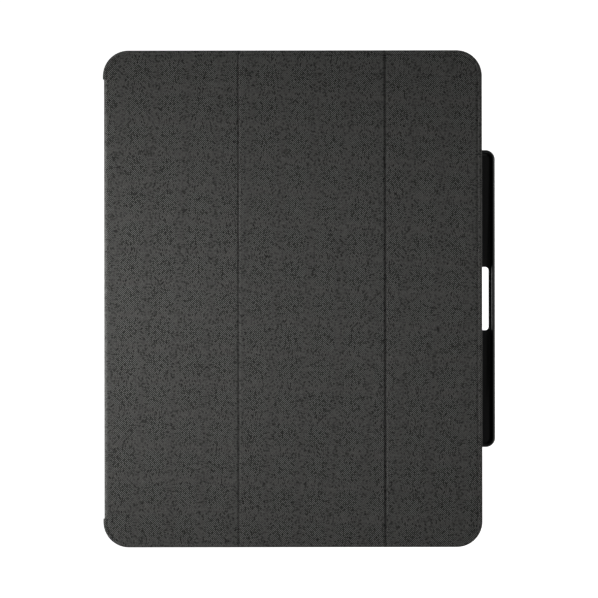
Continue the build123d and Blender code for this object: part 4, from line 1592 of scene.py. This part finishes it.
@dataclass
class Keyboard:
    """The thin keyboard that hangs inside the cover, keys facing the tablet."""

    shop: Workshop
    flange: float = 0.5
    flange_height: float = 0.4
    cap_corner: float = 1.6
    dish: float = 0.12
    legend_size: float = 4.42
    legend_rise: float = 0.02
    dome_radius: float = 2.3
    function_dome_radius: float = 1.9
    space_dome_way: float = 17.64  # how far the space bar's two domes are from its middle

    def build(self) -> None:
        """Dresses the case and makes caps, domes, pads, screws and legends."""
        dress = self.shop.dress_node
        dress("keyboard_deck", "keyboard_case", soften=0.18, segments=3)
        dress("keyboard_base", "keyboard_case", soften=0.2, segments=3)
        dress("key_support_plate", "steel")
        dress("key_membrane", "membrane")
        dress("keyboard_battery", "battery_foil", soften=0.3, segments=3)
        dress("control_board", "circuit_board")
        dress("charge_socket", "steel", soften=0.08)
        dress("power_switch_body", "switch_body", soften=0.1)
        dress("power_switch_knob", "keycap", soften=0.15)
        dress("status_lights", "light_window")
        for node in ("dock_magnets", "keyboard_holding_magnets", "closure_magnets", "wake_magnet"):
            dress(node, "magnet", soften=0.15)
        for group in KeyGroup:
            self.build_group(*group.value)
        self.build_pads()
        self.build_screws()

    def cap(self, bm: bmesh.types.BMesh, low: Vector, high: Vector) -> None:
        """Adds one cap with its flange, tapered skirt, rounded rim and dished face.

        Args:
            bm: The bmesh to add to.
            low: The cap's lowest corner in the frame.
            high: Its highest corner.
        """
        f = self.flange
        outline = Outline(low.x + f, high.x - f, low.y + f, high.y - f, min(self.cap_corner, (high.x - low.x) / 4), 6)
        face, shelf = low.z, high.z - self.flange_height
        profile = [
            (1.0, high.z), (-f, high.z), (-f, shelf), (0.0, shelf), (0.0, shelf - 0.1), (0.04, face + 0.50),
            (0.10, face + 0.24), (0.22, face + 0.09), (0.45, face), (0.9, face + 0.02),
            (1.8, face + self.dish * 0.6), (2.6, face + self.dish),
        ]
        room = min(high.x - low.x, high.y - low.y) / 2 - f - 0.3
        stack_rings(bm, outline, [(min(inset, room), z) for inset, z in profile])

    def build_group(self, node: str, joint: str, legends: str) -> None:
        """Makes one group's caps, domes and legends.

        Args:
            node: The group's node and body.
            joint: The joint that presses it; not used.
            legends: One character for each cap, from the typist's left.
        """
        boxes = sorted(solid_boxes(node), key=lambda b: (round(b[0].x), -b[1].y))
        bm = bmesh.new()
        for low, high in boxes:
            self.cap(bm, low, high)
        caps = finish_mesh(closed_piece(bm, f"{node}_caps"), self.shop.finish_of(Slot.KEYCAP), sharp=35.0)
        self.shop.settle(caps, node, Slot.KEYCAP.value, node)
        self.build_domes(node, boxes)
        if legends.strip():
            self.build_legends(node, boxes, legends)

    def build_domes(self, node: str, boxes: Sequence[tuple[Vector, Vector]]) -> None:
        """Makes the rubber domes over one group's caps.

        Args:
            node: The group's node.
            boxes: The caps' boxes.
        """
        low, high = millimetre_box("key_domes")
        tall = high.z - low.z
        radius = self.function_dome_radius if node == "function_keys" else self.dome_radius
        profile = [
            (radius * 0.42, 0.0), (radius * 0.48, tall * 0.12), (radius * 0.55, tall * 0.5),
            (radius * 0.8, tall * 0.78), (radius, tall * 0.92), (radius, tall),
        ]
        master = turned_master("dome_master", profile, 20)
        ways = (-self.space_dome_way, self.space_dome_way) if node == "space_bar" else (0.0,)
        spots = [Vector((spot.x, spot.y + way, low.z)) for spot in standing_spots(boxes) for way in ways]
        name = f"{node}_domes"
        domes = self.shop.placer.place(name, master, spots, self.shop.finish_of(Slot.DOME))
        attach(domes, Body.KEYBOARD.value)
        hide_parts("key_domes")
        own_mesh(domes)

    def build_legends(self, node: str, boxes: Sequence[tuple[Vector, Vector]], legends: str) -> None:
        """Prints plain letters and figures on one group's caps.

        Args:
            node: The group's node and body.
            boxes: The caps' boxes, from the typist's left.
            legends: One character for each cap.
        """
        bm = bmesh.new()
        facing = Matrix(((0, -1, 0), (-1, 0, 0), (0, 0, -1))).to_4x4()
        for (low, high), letter in zip(boxes, legends):
            if letter == " ":
                continue
            curve = bpy.data.curves.new("letter", "FONT")
            curve.body, curve.size = letter, self.legend_size
            curve.align_x, curve.align_y = "CENTER", "CENTER"
            curve.extrude, curve.resolution_u = self.legend_rise / 2, 3
            holder = add_object("letter", curve)
            mesh = evaluated_mesh(holder)
            middle = (low + high) / 2
            spot = Matrix.Translation((middle.x, middle.y, low.z + self.dish - self.legend_rise / 2))
            mesh.transform(spot @ facing)
            bm.from_mesh(mesh)
            bpy.data.objects.remove(holder)
            bpy.data.meshes.remove(mesh)
        bmesh.ops.remove_doubles(bm, verts=bm.verts, dist=CUT_REACH)
        obj = finish_mesh(closed_piece(bm, f"{node}_legends"), self.shop.materials["legend_ink"], sharp=30.0)
        self.shop.settle(obj, node, Slot.KEYCAP.value)

    def build_pads(self) -> None:
        """Makes the soft pads that keep the keys off the glass."""
        boxes = solid_boxes("screen_bumpers")
        low, high = boxes[0]
        radius, tall = (high.x - low.x) / 2, high.z - low.z
        profile = [
            (radius * 0.35, 0.0), (radius * 0.62, tall * 0.06), (radius * 0.85, tall * 0.24),
            (radius * 0.97, tall * 0.55), (radius, tall * 0.85), (radius, tall),
        ]
        master = turned_master("pad_master", profile, 28)
        finish = self.shop.finish_of(Slot.PAD)
        pads = self.shop.placer.place("screen_pads", master, standing_spots(boxes), finish)
        self.shop.settle(pads, Body.KEYBOARD.value, Slot.PAD.value, "screen_bumpers")

    def build_screws(self) -> None:
        """Makes the case screws, each with a six-lobed recess in its head."""
        boxes = solid_boxes("keyboard_screws")
        low, high = boxes[0]
        radius, tall = (high.x - low.x) / 2, high.z - low.z
        profile = [
            (0.55, 0.0), (0.7, 0.2), (0.7, tall - 0.4), (radius * 0.96, tall - 0.36), (radius, tall - 0.1),
            (radius * 0.93, tall), (radius * 0.52, tall), (radius * 0.5, tall - 0.28),
        ]
        master = turned_master("screw_master", profile, 36, lobed_from=6)
        finish = self.shop.finish_of(Slot.SCREW)
        screws = self.shop.placer.place("case_screws", master, standing_spots(boxes), finish, math.pi / 3)
        self.shop.settle(screws, Body.KEYBOARD.value, Slot.SCREW.value, "keyboard_screws")


# ---------------------------------------------------------------- studio
@dataclass(frozen=True)
class Lamp:
    """One square studio lamp: metres, watts, and degrees of spread."""

    name: str
    place: tuple[float, float, float]
    aim: tuple[float, float, float]
    size: float
    power: float
    spread: float


@dataclass
class Studio:
    """White floor and sky, low lamps from three sides and a long-lens camera straight above."""

    shop: Workshop
    lamps: tuple[Lamp, ...] = (
        Lamp("window_side", (-0.46, 0.00, 0.17), (-0.03, -0.015, 0.0), size=0.20, power=0.43, spread=75.0),
        Lamp("front_fill", (-0.10, -0.50, 0.40), (-0.03, -0.03, 0.0), size=0.40, power=0.10, spread=100.0),
        Lamp("tray_kicker", (0.55, 0.0, 0.30), (0.117, 0.0, 0.01), size=0.45, power=0.10, spread=60.0),
    )
    sky: float = 0.08  # strength of the light from all around
    backdrop: float = 1.05  # strength at which the camera sees the sky
    floor_half: float = 4.0
    floor_depth: float = 0.30
    floor_tone: float = 0.92
    floor_glow: float = 0.95
    camera_height: float = 8.0
    camera_roll: float = -0.08
    frame_width: float = 0.34775
    camera_x: float = 0.00346
    camera_y: float = -0.00012
    sensor: float = 36.0  # millimetres, as the lens is
    clip: tuple[float, float] = (0.1, 20.0)

    def build(self) -> None:
        """Makes floor, lamps, sky and camera."""
        self.make_floor()
        for lamp in self.lamps:
            self.make_lamp(lamp)
        world = bpy.data.worlds.new("sky")
        world.use_nodes = True
        g = Graph(world.node_tree)
        seen = g.node("ShaderNodeLightPath").outputs["Is Camera Ray"]
        strength = g.span(seen, 0.0, 1.0, self.sky, self.backdrop)
        g.feed(world.node_tree.nodes["Background"], {"Color": WHITE, "Strength": strength})
        bpy.context.scene.world = world
        bpy.context.scene.view_settings.view_transform = "Standard"
        self.make_camera()

    def make_floor(self) -> None:
        """Lays a wide plain floor, low enough for the cover to swing below the shell."""
        half, low = self.floor_half, -self.floor_depth
        mesh = bpy.data.meshes.new("floor")
        corners = [(-half, -half, low), (half, -half, low), (half, half, low), (-half, half, low)]
        mesh.from_pydata(corners, [], [(0, 1, 2, 3)])
        floor = add_object("floor", mesh)
        material = bpy.data.materials.new("pale_floor")
        material.use_nodes = True
        Graph(material.node_tree).feed(material.node_tree.nodes["Principled BSDF"], {
            "Base Color": grey(self.floor_tone), "Roughness": 0.9, "Specular IOR Level": 0.0,
            "Emission Color": WHITE, "Emission Strength": self.floor_glow,
        })
        mesh.materials.append(material)

    def make_lamp(self, lamp: Lamp) -> None:
        """Hangs one soft lamp.

        Args:
            lamp: Where it hangs and how bright it is.
        """
        data = bpy.data.lights.new(lamp.name, "AREA")
        data.energy, data.size, data.spread = lamp.power, lamp.size, math.radians(lamp.spread)
        obj = add_object(lamp.name, data)
        obj.location = lamp.place
        obj.rotation_euler = (Vector(lamp.aim) - Vector(lamp.place)).to_track_quat("-Z", "Y").to_euler()

    def make_camera(self) -> None:
        """Sets a long lens straight above the cover."""
        data = bpy.data.cameras.new("overhead_camera")
        data.sensor_width = self.sensor
        data.lens = self.sensor * self.camera_height / self.frame_width
        data.clip_start, data.clip_end = self.clip
        camera = add_object("overhead_camera", data)
        top = millimetre_box("middle_panel_fabric")[1].z * MM
        camera.location = (self.camera_x, self.camera_y, top + self.camera_height)
        camera.rotation_euler = (0.0, 0.0, math.radians(self.camera_roll))
        bpy.context.scene.camera = camera


def main() -> None:
    """Builds the finishes and then the looks in order."""
    logging.basicConfig(level=logging.INFO, format="%(name)s: %(message)s")
    FRAME.update(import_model())
    shop = Workshop()
    Shell(shop).build()
    cover = Cover(shop)
    cover.build()
    Spine(shop, cover).build()
    Keyboard(shop).build()
    Studio(shop).build()


if __name__ == "__main__":
    main()
